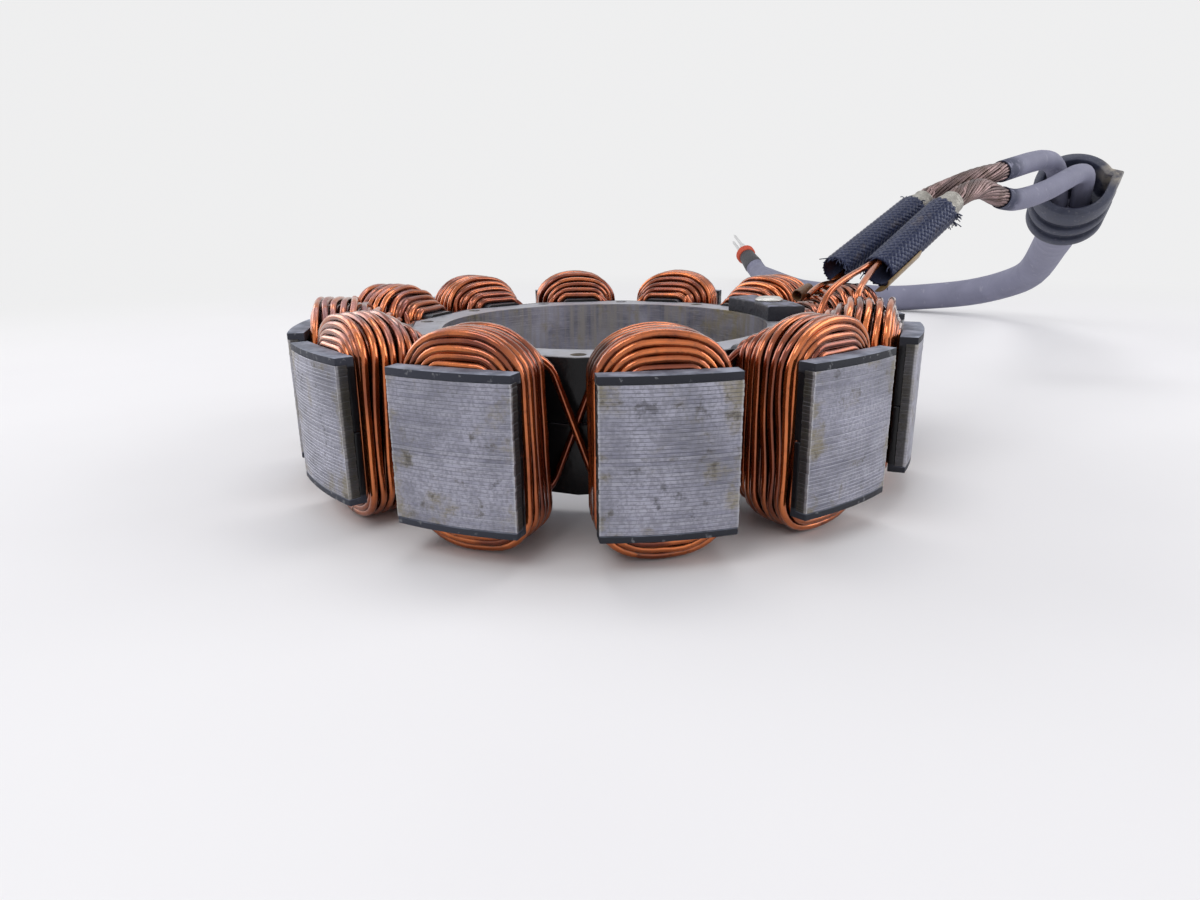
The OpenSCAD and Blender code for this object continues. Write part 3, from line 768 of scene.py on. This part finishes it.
def round_the_tooth(lift):
    """Points (across, up) of one turn at a height above the tooth cover, from the middle of its lower end."""
    radius = COVER_EDGE + COIL_GAP + lift
    flat, upright = COVER_HALF - COVER_EDGE, COVER_TOP - COVER_EDGE
    stations = [(flat, -upright, -90), (flat, upright, 0), (-flat, upright, 90), (-flat, -upright, 180)]
    first = (0.0, -upright - radius)

    def on_corner(number, swing):
        cx, cz, start = stations[number]
        a = math.radians(start + swing)
        return (cx + radius * math.cos(a), cz + radius * math.sin(a))

    line, corner, here = [], 0, first
    for kind, count in SPANS:
        if kind == "bend":
            line += [on_corner(corner, 90 * k / count) for k in range(1, count + 1)]
            corner += 1
        else:
            goal = on_corner(corner, 0) if corner < len(stations) else first
            for k in range(1, count + 1):
                line.append(tuple(a + (b - a) * k / count for a, b in zip(here, goal)))
        here = line[-1]
    return line


def smoothly(t):
    t = min(max(t, 0.0), 1.0)
    return t * t * (3 - 2 * t)


def layer_ends(layer):
    """Numbers of the first and last turn of a layer, counted from the yoke."""
    layer = min(layer, LAYERS - 1)
    return layer * YOKE_STEP, TURNS - 1 - layer * SHOE_STEP


def layer_lift(layer):
    return WIRE_D / 2 - WIRE_BED + min(layer, LAYERS - 1) * LAYER_PITCH


def arched(y, z, layer):
    """Draws a crown of the outer layers towards a round arch, which rises in its middle on the upper side."""
    knee = COVER_TOP - COVER_EDGE
    if abs(z) <= knee:
        return y, z
    lift = COVER_EDGE + COIL_GAP + layer_lift(layer)
    across = y / (COVER_HALF - COVER_EDGE + lift)
    arch = lift * math.sqrt(max(0.0, 1 - across ** 2))
    share = CROWN_ROUND * min(layer, LAYERS - 1) / (LAYERS - 1)
    rise = (abs(z) - knee) * (1 - share) + arch * share
    if z > 0:
        rise += CROWN_RISE * layer * (1 - across ** 2)
    return y, math.copysign(knee + rise, z)


def coil_line(number):
    """The wire of one coil, with a tone for each point."""
    rng = random.Random(40 + number)
    angle = pole_angle(number)
    lean = rng.uniform(-0.8, 0.8)
    line, tones = [], []
    for layer in range(LAYERS):
        low, high = layer_ends(layer)
        count = int(high - low) + (1 if layer < 1 else 0)
        step = (high - low) / (count - 1)
        outward_bound = layer % 2 == 0
        next_start = layer_ends(layer + 1)[1 if outward_bound else 0]
        rounds, above = round_the_tooth(layer_lift(layer)), round_the_tooth(layer_lift(layer + 1))
        for k in range(count):
            tone, loose = rng.random(), rng.uniform(-0.08, 0.08)
            here = low + k * step if outward_bound else high - k * step
            last = k == count - 1
            goal = next_start if last else here + (step if outward_bound else -step)
            for m, (y, z) in enumerate(rounds):
                share = (m + 1) / STEPS
                on = smoothly((share - HOP_FROM) / (1 - HOP_FROM))
                climb = on if last else 0.0
                u = here + (goal - here) * on
                y, z = arched(y + (above[m][0] - y) * climb, z + (above[m][1] - z) * climb, layer + climb)
                room = min(1.0, max(0.0, 0.1 + min(u - 0.6 * layer, TURNS - 1 - u) / 3))
                turn = math.tau * share
                side, up = 1.3 * math.cos(turn), 1.3 * math.sin(turn)
                spot = Vector((u * 0.36, side, up + 7.3 * number + layer * 1.7))
                drift = room * (DRIFT * noise.noise(spot) + lean * 0.8 * z / COVER_TOP)
                drift += loose * math.cos(turn + 9 * tone)
                swell = 1 + SWELL * noise.noise(spot * 1.7 + Vector((5, 1, 3)))
                x = min(turn_r(u) + drift, LAST_TURN_R)
                z = max(z * swell, GROUND_Z + WIRE_D / 2)
                line.append(Vector((*turned(x, y * swell, angle), z)))
                tones.append(0.5 * tone + 0.5 * (0.5 + 0.5 * noise.noise(spot * 2.2)))
    return line, tones


print("wire in one coil:", round(line_length(coil_line(1)[0])), "mm")

# %% [markdown]
# Enamelled copper is a metal under a clear amber coat. The colour runs from bright orange to burnt brown, a mauve
# film of dust lies on the crowns, thickest on the left, and the crowns by the leads are scorched. The gaps between
# the turns are darker, partly from dark varnish that has run in and partly as painted shade: short rays from every
# point find how shut in it is, and the finish reads that.


# %% Enamelled copper
def enamelled_copper():
    made = Finish("enamelled copper", Metallic=0.85, Coat_Roughness=0.06, Coat_IOR=1.5)
    age = made.noise(0.14, detail=4)
    grain = made.noise(1.4, detail=4)
    bright = made.ease(made.attribute("tone") * 0.6 + age * 0.5, 0.36, 0.78)
    upward = made.upward(0.1, 0.95)
    height = made.ease(made.axis(made.spot, 2), 8.0, 14.0)
    left = 0.06 + 0.94 * (1 - made.ease(made.axis(made.spot, 0), -42.0, -14.0))
    film = upward * height * left * made.ease(made.noise(0.34, detail=6), 0.42, 0.6)
    scorch = made.near((44, 4, 14), 4, 13) * made.ease(made.noise(0.45, detail=5), 0.47, 0.62)
    spread = made.ease(made.noise(0.6, detail=4), 0.45, 0.6)
    char = made.ease(scorch + upward * made.near((42, -22, 15), 3, 9) * spread, 0.0, 1.0)
    burn = made.near((-8.4, -45.2, 11.6), 1.8, 4.6)
    body = made.over(
        made.mix(bright, (0.17, 0.030, 0.009), (0.63, 0.168, 0.040)),
        (0.5 * made.ease(grain, 0.55, 0.75), (0.10, 0.026, 0.012)),
        # Painted shade in the gaps between the turns, together with the dark varnish that lies there.
        (0.88 * made.ease(made.attribute("shut"), 0.1, 0.62), (0.045, 0.011, 0.005)),
        (0.66 * film, (0.29, 0.19, 0.215)),
        (0.88 * char, (0.022, 0.013, 0.011)),
        (0.92 * burn, (0.015, 0.009, 0.008)))
    made.feed(Base_Color=body, Roughness=0.13 + 0.36 * film + 0.1 * grain + 0.3 * burn)
    made.feed(Coat_Weight=0.68 - 0.5 * film - 0.6 * burn - 0.5 * char)
    made.bump(grain, 0.025)
    return made


def shut_in(piece, reach=0.9, around=7, tilt=55):
    """Writes the share of short rays that hit the piece again, from each of its points, as a mask of painted
    shade.
    """
    mesh = piece.data
    shell = BVHTree.FromPolygons([v.co for v in mesh.vertices], [p.vertices for p in mesh.polygons])
    rise, lean = math.cos(math.radians(tilt)), math.sin(math.radians(tilt))
    ring = [(math.cos(a) * lean, math.sin(a) * lean) for a in round_of(around)]
    shares = []
    for v in mesh.vertices:
        out = v.normal
        side = out.orthogonal().normalized()
        other = out.cross(side)
        start = v.co + out * (0.02 * MM)
        ways = (out * rise + side * a + other * b for a, b in ring)
        hits = sum(shell.ray_cast(start, way, reach * MM)[0] is not None for way in ways)
        shares.append(hits / around)
    mesh.attributes.new("shut", "FLOAT", "POINT").data.foreach_set("value", shares)


ENAMELLED_COPPER = enamelled_copper()
for number in range(1, POLES + 1):
    line, tones = coil_line(number)
    coil = wires(f"wound_coil_{number:02d}", [line], WIRE_D, 9, ENAMELLED_COPPER, [tones])
    shut_in(coil)
    settle(coil, "copper_wire", f"coil_{number:02d}")
print("coils of", len(coil.data.polygons), "faces each")

# %% [markdown]
# ## Crossing wires in the slots
# One wire leads from each coil to the next, and in every slot two of them cross like an X in front of the glossy
# liner. They are short lines with a slight bow, swept by the same tree.

# %% Crossing wires
FIT, LINER_T, LEAD_POLE = 0.05, 0.7, 4
LINK_R = YOKE_CORNER + LINER_T / math.cos(HALF_STEP) + FIT + WIRE_D / 2


def link_line(slot, layer):
    """One crossing wire of a slot; the slot's middle is half a step after its pole."""
    slope = Vector((YOKE_STEP * TURN_PITCH, LAYER_PITCH)).normalized()
    x = LINK_R + layer * (WIRE_D + FIT)
    cos, sin = math.cos(HALF_STEP), math.sin(HALF_STEP)
    along = x * cos - turn_r(0)
    across = x * sin - (COVER_HALF + COIL_GAP + layer_lift(0))
    y = (slope.x * across - slope.y * along - WIRE_D - FIT) / (slope.y * sin + slope.x * cos)
    side = 1 if layer == 0 else -1
    angle = pole_angle(slot) + HALF_STEP
    line = []
    for k in range(25):
        t = (k / 12 - 1) * 1.08
        bow = 0.14 * (1 - t * t) * (1 if layer else -0.2)
        into_coil = math.copysign(max(0.0, abs(t) - 0.8) ** 2 * 16, t)
        flat = turned(x + bow + abs(into_coil), side * (y * t + into_coil), angle)
        line.append(Vector((*flat, HALF_H * t)))
    return line


link_slots = [slot for slot in range(1, POLES + 1) if slot != LEAD_POLE]
link_lines = [link_line(slot, layer) for slot in link_slots for layer in (0, 1)]
link_tones = [[0.25 + 0.5 * ((i * 7) % 5) / 5] * len(line) for i, line in enumerate(link_lines)]
links = wires("crossing_wires", link_lines, WIRE_D, 10, ENAMELLED_COPPER, link_tones)
settle(links, "copper_wire", "coil_links")
print("crossing wires:", len(link_lines))

# %% [markdown]
# ## Leads
# On one pole the ends of the winding rise into two woven sleeves. The routes repeat those of the solids, with
# finer steps.

# %% Lead wires
SLEEVE_D, SLEEVE_WALL = 6.3, 0.5
SLEEVE_BORE = SLEEVE_D / 2 - SLEEVE_WALL
HALF_PAIR = 0.7
LEAD_ROOT = Vector((turn_r(0) - WIRE_D / 2, 0, LEAD_BASE.z))
FRONT_FOOT, FRONT_HEAD = LEAD_BASE + Vector((-1.9, 0.6, 1.4)), LEAD_BASE + Vector((15.7, 10.3, 12.1))
REAR_FOOT, REAR_HEAD = LEAD_BASE + Vector((-7.1, 7.4, 1.1)), LEAD_BASE + Vector((14, 18.6, 12.5))
FRONT_WAY, REAR_WAY = (FRONT_HEAD - FRONT_FOOT).normalized(), (REAR_HEAD - REAR_FOOT).normalized()


def at_leads(*points):
    return [LEAD_BASE + Vector(p) for p in points]


def at_root(*points):
    return [LEAD_ROOT + Vector(p) for p in points]


def square_to(way):
    """The upper and the sideways direction that stand square to a way."""
    top = (UP - way.z * way).normalized()
    return top, way.cross(top)


def lead_lines(routes, foot, way, lie):
    """Two wires that lie side by side along the top (lie = 1) or the bottom (lie = -1) of a sleeve's bore."""
    top, side = square_to(way)
    reach = lie * math.sqrt((SLEEVE_BORE - WIRE_D / 2 - FIT) ** 2 - HALF_PAIR ** 2)
    lines = []
    for route, hand in zip(routes, (-HALF_PAIR, HALF_PAIR)):
        entry = foot + reach * top + hand * side
        lines.append(through(route + [entry, entry + 5 * way, entry + 10 * way], 8))
    return lines


front_routes = [at_root((0.8, -9.1, -7.4), (1, -9, -4.6), (3.1, -7.5, -1.4)) + at_leads((-11, -4.9, 0.6)),
                at_leads((-10.8, -10.4, -5.3), (-10.6, -10.1, -1.6), (-8, -7, 0.6))]
rear_routes = [at_leads((-9.5, 10.6, -6.4), (-8.7, 9.8, -2.9)),
               at_root((2.3, -0.1, -2.6)) + at_leads((-11.5, 4, -1.2))]
lead_sets = {"front": lead_lines(front_routes, FRONT_FOOT, FRONT_WAY, 1),
             "rear": lead_lines(rear_routes, REAR_FOOT, REAR_WAY, -1)}
for side, lines in lead_sets.items():
    tones = [[0.6] * len(line) for line in lines]
    piece = wires(side + "_winding_ends", lines, WIRE_D, 10, ENAMELLED_COPPER, tones)
    settle(piece, "copper_wire", side + "_lead_wires")
link_from, link_to = at_root((2.9, 6.6, -3.3), (6.3, 9.2, -2.3))
link_way = (link_to - link_from).normalized()
stub = [link_from.lerp(link_to + 0.8 * link_way, t / 6) + link_way * (1 - t / 6) for t in range(7)]
piece = wires("joined_wire_end", [stub], WIRE_D, 12, ENAMELLED_COPPER, [[0.4] * len(stub)])
settle(piece, "copper_wire", "link_wire")
print("lead wires:", sum(len(lines) for lines in lead_sets.values()))

# %% [markdown]
# ## Woven sleeves
# The sleeves are braided from flat varnished yarns. One yarn is modelled as it winds round the tube, dipping under
# and over at every crossing, and Geometry Nodes set the copies round the axis, once for each direction of the
# braid. A bump pattern on a tube would look painted where the sleeve's mouth is cut.


# %% Braid
def ring_tree():
    tree, given, out = new_tree("ring of copies", Count="Int")
    places = chain(tree, "GeometryNodeMeshLine", (given["Count"], "Count"), ((0, 0, 0), "Offset"))
    number = chain(tree, "GeometryNodeInputIndex")
    step = chain(tree, "ShaderNodeMath", (math.tau, 0), (given["Count"], 1), operation="DIVIDE")
    angle = chain(tree, "ShaderNodeMath", (number, 0), (step, 1), operation="MULTIPLY")
    turn = chain(tree, "ShaderNodeCombineXYZ", (angle, "Z"))
    copies = chain(tree, "GeometryNodeInstanceOnPoints", (places, "Points"), (given["Geometry"], "Instance"),
                   (turn, "Rotation"))
    return end_tree(tree, copies, given, out)


RING = ring_tree()
YARNS, BRAID_PITCH = 15, 17.0
YARN_R, YARN_WAVE, YARN_HALF_W, YARN_HALF_T = SLEEVE_D / 2 - 0.2, 0.1, 0.46, 0.15
YARN_SIDES, YARN_STEP = 8, 0.3


def skinned(name, rings, closed=False):
    """Faces between rings of points; the two ends get caps, or meet where the rings close."""
    n, count = len(rings[0]), len(rings)
    faces = []
    for i in range(count if closed else count - 1):
        here, there = i * n, (i + 1) % count * n
        pairs = [(k, (k + 1) % n) for k in range(n)]
        faces += [(here + j, here + k, there + k, there + j) for j, k in pairs]
    if not closed:
        faces += [tuple(range(n))[::-1], tuple(range((count - 1) * n, count * n))]
    return new_piece(name, [p for ring in rings for p in ring], faces=faces)


def yarn_mesh(name, length, hand):
    """One flat yarn that winds round the Z axis; hand is the direction of the braid."""
    steps = int(length / YARN_STEP)
    lean = math.atan2(math.tau * YARN_R, BRAID_PITCH) * hand
    rings = []
    for i in range(steps + 1):
        s = length * i / steps
        turn = hand * math.tau * s / BRAID_PITCH
        radius = YARN_R + hand * YARN_WAVE * math.cos(math.tau * YARNS * s / BRAID_PITCH)
        ring = []
        for a in round_of(YARN_SIDES):
            wide, r = YARN_HALF_W * math.cos(a), radius + YARN_HALF_T * math.sin(a)
            theta = turn + wide * math.cos(lean) / YARN_R
            ring.append((r * math.cos(theta), r * math.sin(theta), s - wide * math.sin(lean)))
        rings.append(ring)
    return skinned(name, rings)


def lined_tube(name, outer, inner, length, sides=32):
    """A plain tube with a wall, which backs the braid."""
    corners = ((outer, 0), (outer, length), (inner, length), (inner, 0))
    rings = [[(r * math.cos(a), r * math.sin(a), z) for a in round_of(sides)] for r, z in corners]
    return skinned(name, rings, closed=True)


def set_along(piece, start, way):
    """Moves a piece that was made along Z so that it starts at a point and runs along a direction."""
    turn = Matrix.Rotation(math.atan2(way.y, way.x), 4, "Z") @ Matrix.Rotation(math.acos(way.z), 4, "Y")
    piece.data.transform(Matrix.Translation(start * MM) @ turn)
    return piece


def outward(piece):
    """Turns every face outward and shades the piece smooth."""
    with edited(piece) as shape:
        bmesh.ops.recalc_face_normals(shape, faces=shape.faces)
    piece.data.shade_smooth()
    return piece


def woven_cloth():
    made = Finish("woven cloth", Specular_IOR_Level=0.45, Specular_Tint=shade(0.50, 0.58, 0.95))
    worn = made.noise(0.5, detail=5)
    thread_and_highlight = made.noise(5.0, detail=3)
    body = made.over(
        made.mix(worn, (0.004, 0.006, 0.018), (0.016, 0.021, 0.055)),
        # Paler specks: partly the yarn's own colour, partly painted highlights on the braid.
        (0.45 * made.ease(thread_and_highlight, 0.55, 0.75), (0.11, 0.125, 0.20)),
        (0.35 * made.ease(made.noise(0.25), 0.6, 0.72), (0.10, 0.075, 0.045)))
    made.feed(Base_Color=body, Roughness=0.22 + 0.2 * worn)
    made.bump(thread_and_highlight, 0.05)
    return made


WOVEN_CLOTH = woven_cloth()


def braided_sleeve(name, foot, head):
    length = (head - foot).length
    parts = []
    for hand in (1, -1):
        yarn = outward(yarn_mesh(name + "_yarn", length - 0.5, hand))
        yarn.data.transform(Matrix.Translation((0, 0, 0.25 * MM)))
        parts.append(through_nodes(yarn, RING, Count=YARNS, Material=WOVEN_CLOTH.material))
    tube = outward(lined_tube(name, SLEEVE_D / 2 - 0.26, SLEEVE_BORE, length - 0.3))
    tube.data.transform(Matrix.Translation((0, 0, 0.15 * MM)))
    return set_along(painted(joined(tube, *parts), WOVEN_CLOTH), foot, (head - foot).normalized())


for side, foot, head in (("front", FRONT_FOOT, FRONT_HEAD), ("rear", REAR_FOOT, REAR_HEAD)):
    piece = braided_sleeve(side + "_braid", foot, head)
    piece.data.shade_smooth()
    settle(piece, "woven_sleeve", side + "_sleeve")
    print(piece.name, len(piece.data.polygons), "faces")

# %% [markdown]
# The cut ends of the sleeves have come apart into loose threads. Each is a short line that leaves the rim along
# the sleeve and curls down, with its own seeded bend.

# %% Frayed threads
THREAD_D = 0.2
# Rim, way out of the sleeve, number of threads, middle angle and spread.
FRAYS = [
    (FRONT_HEAD, FRONT_WAY, 22, 2.6, 0.9),
    (FRONT_FOOT, -FRONT_WAY, 8, 0.0, 2.6),
    (REAR_FOOT, -REAR_WAY, 20, -0.6, 1.3),
    (REAR_HEAD, REAR_WAY, 8, 0.0, 2.6),
]


def frayed_lines(rim, way, count, middle, spread, rng):
    """Loose threads on a sleeve's rim."""
    top, side = square_to(way)
    lines = []
    for _ in range(count):
        a = middle + rng.uniform(-spread, spread)
        out = top * math.cos(a) + side * math.sin(a)
        length, curl, twist = rng.uniform(0.8, 2.2), rng.uniform(0.3, 1.1), rng.uniform(-0.9, 0.9)
        line = []
        for t in (k / 7 for k in range(8)):
            bend = out * (0.5 * curl * length * t * t) + side * (twist * length * t * t * 0.6)
            ahead = way * (length * t * (1 - 0.45 * curl * t) - 0.6)
            line.append(rim + out * YARN_R + ahead + bend - UP * (0.7 * t ** 3))
        lines.append(line)
    return lines


fray_rng = random.Random(12)
frays = [line for fray in FRAYS for line in frayed_lines(*fray, fray_rng)]
settle(wires("frayed_threads", frays, THREAD_D, 5, WOVEN_CLOTH), "woven_sleeve")
print("loose threads:", len(frays))

# %% [markdown]
# ## Joints, strands and conductors
# A lump of solder closes each sleeve. It is a turned shape whose skin is pushed in and out by smooth noise, but
# only outside the sleeve, where it shows.

# %% Solder joints
JOINT_IN, JOINT_OUT, STRAND_D = 3.0, 4.0, 4.3
LUMP_SIDES, LUMP_TIP = 36, 0.02


def solder_lump(name, head, way, seed):
    """A turned lump with an uneven skin."""
    length = JOINT_IN + JOINT_OUT
    tight, loose = SLEEVE_BORE - FIT, STRAND_D / 2
    profile = [(LUMP_TIP, 0), (tight - 0.6, 0), (tight, 1), (tight, JOINT_IN), (tight, JOINT_IN + 0.8),
               (tight - 0.1, JOINT_IN + 1.8), (loose + 0.1, length - 1), (loose, length), (LUMP_TIP, length)]
    rings = []
    for p in through([Vector((r, 0, z)) for r, z in profile], 4):
        shown = smoothly((p.z - JOINT_IN) / 1.2) * smoothly((length - p.z) / 0.6)
        ring = []
        for a in round_of(LUMP_SIDES):
            spot = Vector((math.cos(a) * 1.3 + seed, math.sin(a) * 1.3, p.z * 0.6))
            r = max(p.x, LUMP_TIP) * (1 + 0.16 * shown * noise.noise(spot))
            ring.append((r * math.cos(a), r * math.sin(a), p.z))
        rings.append(ring)
    return set_along(outward(skinned(name, rings)), head - JOINT_IN * way, way)


GREY_SOLDER = two_tone("grey solder", 0.7, (0.15, 0.135, 0.115), (0.46, 0.45, 0.42), (0.38, 0.3), (1.6, 4, 0.12),
                       Metallic=0.6)
for side, head, way, seed in (("front", FRONT_HEAD, FRONT_WAY, 1), ("rear", REAR_HEAD, REAR_WAY, 6)):
    lump = painted(solder_lump(side + "_solder", head, way, seed), GREY_SOLDER)
    settle(lump, "solder", side + "_solder_joint")
    print(lump.name, len(lump.data.polygons), "faces")

# %% [markdown]
# Bare strands lead from the solder to the cut end of a grey conductor. They are twisted like a rope, so each
# strand is a line that circles the route, in an outer and an inner ring.

# %% Bare strands
EASE, STRAND_WIRE_D = 1.5, 0.72
FRONT_CUT_WAY, REAR_CUT_WAY = Vector((5, 2.5, -1)).normalized(), Vector((7, 3.6, 1.4)).normalized()
# Number of strands, radius and turns of each ring.
OUTER_RING, INNER_RING = (17, STRAND_D / 2 - 0.36, 0.6), (9, 0.95, 0.5)


def eased(start, start_way, middle, end, end_way, count):
    """A curve that leaves its start and reaches its end in given directions."""
    return [start] + through([start + EASE * start_way] + middle + [end - EASE * end_way], count) + [end]


def heading(line, i):
    return (line[min(i + 1, len(line) - 1)] - line[max(i - 1, 0)]).normalized()


def rope_lines(route, count, radius, turns, rng):
    """Strands that circle a route; each one strays a little."""
    lines = []
    for n in range(count):
        stray = rng.uniform(-0.07, 0.07)
        line = []
        for i, middle in enumerate(route):
            way = heading(route, i)
            side = way.cross(UP).normalized()
            rise = side.cross(way)
            t = i / (len(route) - 1)
            a = math.tau * (n / count + turns * t) + stray * math.sin(math.pi * t * 3 + n)
            r = radius * (0.96 + 0.05 * noise.noise(Vector((n * 1.7, t * 4, radius))))
            line.append(middle + (side * math.cos(a) + rise * math.sin(a)) * r)
        lines.append(line)
    return lines


def bare_copper():
    made = Finish("bare strands", Metallic=0.9)
    tarnish = made.noise(0.4, detail=5)
    body = made.mix(made.attribute("tone"), (0.085, 0.060, 0.060), (0.275, 0.188, 0.185))
    body = made.mix(0.6 * made.ease(tarnish, 0.42, 0.66), body, (0.09, 0.062, 0.05))
    made.feed(Base_Color=body, Roughness=0.3 + 0.25 * tarnish)
    made.bump(made.noise(3.0), 0.03)
    return made


BARE_COPPER = bare_copper()
front_route = eased(FRONT_HEAD + (JOINT_OUT + FIT) * FRONT_WAY, FRONT_WAY,
                    at_leads((23.6, 14.6, 15.9), (28, 17, 16.4)), FRONT_CUT, FRONT_CUT_WAY, 10)
rear_route = eased(REAR_HEAD + (JOINT_OUT + FIT) * REAR_WAY, REAR_WAY,
                   at_leads((24.6, 21.8, 17.2), (30.5, 23, 18.9)), REAR_CUT, REAR_CUT_WAY, 10)
rng = random.Random(5)
for side, route in (("front", front_route), ("rear", rear_route)):
    strands = rope_lines(route, *OUTER_RING, rng) + rope_lines(route, *INNER_RING, rng)
    tones = [[rng.random()] * len(line) for line in strands]
    piece = wires(side + "_twist", strands, STRAND_WIRE_D, 7, BARE_COPPER, tones)
    settle(piece, "bare_strands", side + "_strands")
print("strands in each twist:", len(strands))

# %% [markdown]
# The two conductors run from the strands into the grommet. Their insulation ends in a cut, so the first cap of
# each tube is sunk, which leaves a wall round it.

# %% Conductors
CORE_SHIFT = JACKET_D / 4 - 0.2
CUT_WALL, CUT_DEPTH = 0.75, 0.5
MOUTH_SIDE = MOUTH_WAY.cross(UP).normalized()


def cut_end(piece, wall, depth):
    """Sinks the first end cap of a swept tube, so that the cut shows its wall."""
    with edited(piece) as shape:
        caps = [f for f in shape.faces if len(f.verts) > 8]
        cap = min(caps, key=lambda f: f.calc_center_median().x)
        bmesh.ops.inset_region(shape, faces=[cap], thickness=wall * MM)
        bmesh.ops.translate(shape, verts=cap.verts, vec=-cap.normal * depth * MM)


front_middle = at_leads((40, 23, 14.2), (46, 26, 15), (53, 30.2, 16.5), (60, 34.8, 18.4), (67, 39.8, 20),
                        (72, 43.6, 19.4))
rear_middle = at_leads((44.8, 30.3, 21.5), (51.6, 35.4, 22.6), (58, 40.6, 23.2), (63.4, 44.8, 22.8),
                       (67.7, 48, 20.4))
for side, cut, cut_way, middle, shift in (
        ("front", FRONT_CUT, FRONT_CUT_WAY, front_middle, CORE_SHIFT),
        ("rear", REAR_CUT, REAR_CUT_WAY, rear_middle, -CORE_SHIFT)):
    end = JACKET_START + shift * MOUTH_SIDE - FIT * MOUTH_WAY
    line = eased(cut + FIT * cut_way, cut_way, middle, end, MOUTH_WAY, 6)
    piece = wires(side + "_core_lead", [line], CONDUCTOR_D, 24, LEAD_RUBBER)
    cut_end(piece, CUT_WALL, CUT_DEPTH)
    settle(piece, "lead_insulation", side + "_conductor")
    length = line_length(line)
    print(piece.name, round(length, 1), "mm long")
    line[0] * MM
    [p * MM for p in line]

# %% [markdown]
# ## Rubber, film and small parts
# What is left has simple solids of the right form: the ribbed grommet, the block with its rivet, the brown stub
# of sleeve, the film and the far end of the cable. They get rounded copies and their own finishes.


# %% Finishes of the small parts
def black_rubber():
    made = Finish("oily rubber")
    smear = made.noise(0.35, detail=5)
    worn = made.ease(made.noise(1.1, detail=4), 0.58, 0.72)
    lip = made.near((136.5, 42.5, 36.5), 3.5, 7.5) * made.ease(smear, 0.35, 0.6)
    body = made.mix(smear, (0.014, 0.017, 0.034), (0.058, 0.065, 0.105))
    body = made.over(body, (0.35 * worn, (0.2, 0.2, 0.23)), (0.7 * lip, (0.45, 0.40, 0.32)))
    made.feed(Base_Color=body, Roughness=0.35 + 0.3 * smear)
    made.bump(made.noise(2.0, detail=4), 0.06)
    return made


def dusty_plastic():
    made = Finish("dusty plastic", Specular_IOR_Level=0.45)
    dust = made.ease(made.noise(0.5, detail=6), 0.35, 0.65)
    body = made.mix(made.upward(0.3, 0.9) * dust, (0.018, 0.019, 0.027), (0.205, 0.208, 0.275))
    made.feed(Base_Color=body, Roughness=0.42 + 0.35 * dust)
    made.bump(made.noise(1.5, detail=4), 0.08)
    return made


def brown_fibre():
    return two_tone("brown fibre", 0.6, (0.06, 0.026, 0.012), (0.20, 0.10, 0.045), (0.3, 0.3), (3.0, 3, 0.06),
                    squeeze=0.3)


def amber_film():
    return two_tone("amber film", 0.45, (0.14, 0.075, 0.022), (0.46, 0.32, 0.14), (0.2, 0.25), (1.0, 3, 0.15),
                    Transmission_Weight=0.15)


def dull_metal(name, dark, light):
    return two_tone(name, 0.9, dark, light, (0.3, 0.3), (3.0, 3, 0.03), Metallic=0.9)


def plain_rubber(name, dark, light):
    return two_tone(name, 0.6, dark, light, (0.45, 0.25), (2.0, 3, 0.05), Specular_IOR_Level=0.4)


# Name, solid, width of the rounding, slot and finish.
SMALL_PARTS = [
    ("ribbed_grommet", "case_grommet", 0.4, "grommet_rubber", black_rubber()),
    ("clamp_block", "lead_block", 0.3, "dusty_plastic", dusty_plastic()),
    ("clamp_rivet", "block_rivet", 0.12, "rivet_metal",
     dull_metal("dull rivet", (0.38, 0.37, 0.35), (0.68, 0.67, 0.64))),
    ("fibre_stub", "link_sleeve", 0.12, "brown_sleeve", brown_fibre()),
    ("film_strip", "insulation_film", 0.05, "varnish_film", amber_film()),
    ("end_boot", "cable_boot", 0.4, "boot_rubber",
     plain_rubber("dark rubber", (0.03, 0.03, 0.035), (0.08, 0.08, 0.09))),
    ("end_seal", "seal_collar", 0.25, "seal_red",
     plain_rubber("red rubber", (0.42, 0.05, 0.025), (0.66, 0.11, 0.05))),
    ("end_pins", "contact_pins", 0.15, "pin_metal",
     dull_metal("plated pins", (0.55, 0.55, 0.56), (0.8, 0.8, 0.8))),
]
for name, node, width, slot, finish in SMALL_PARTS:
    settle(painted(rounded_copy(name, node, width), finish), slot, node)
[p * MM for p in cable_line]
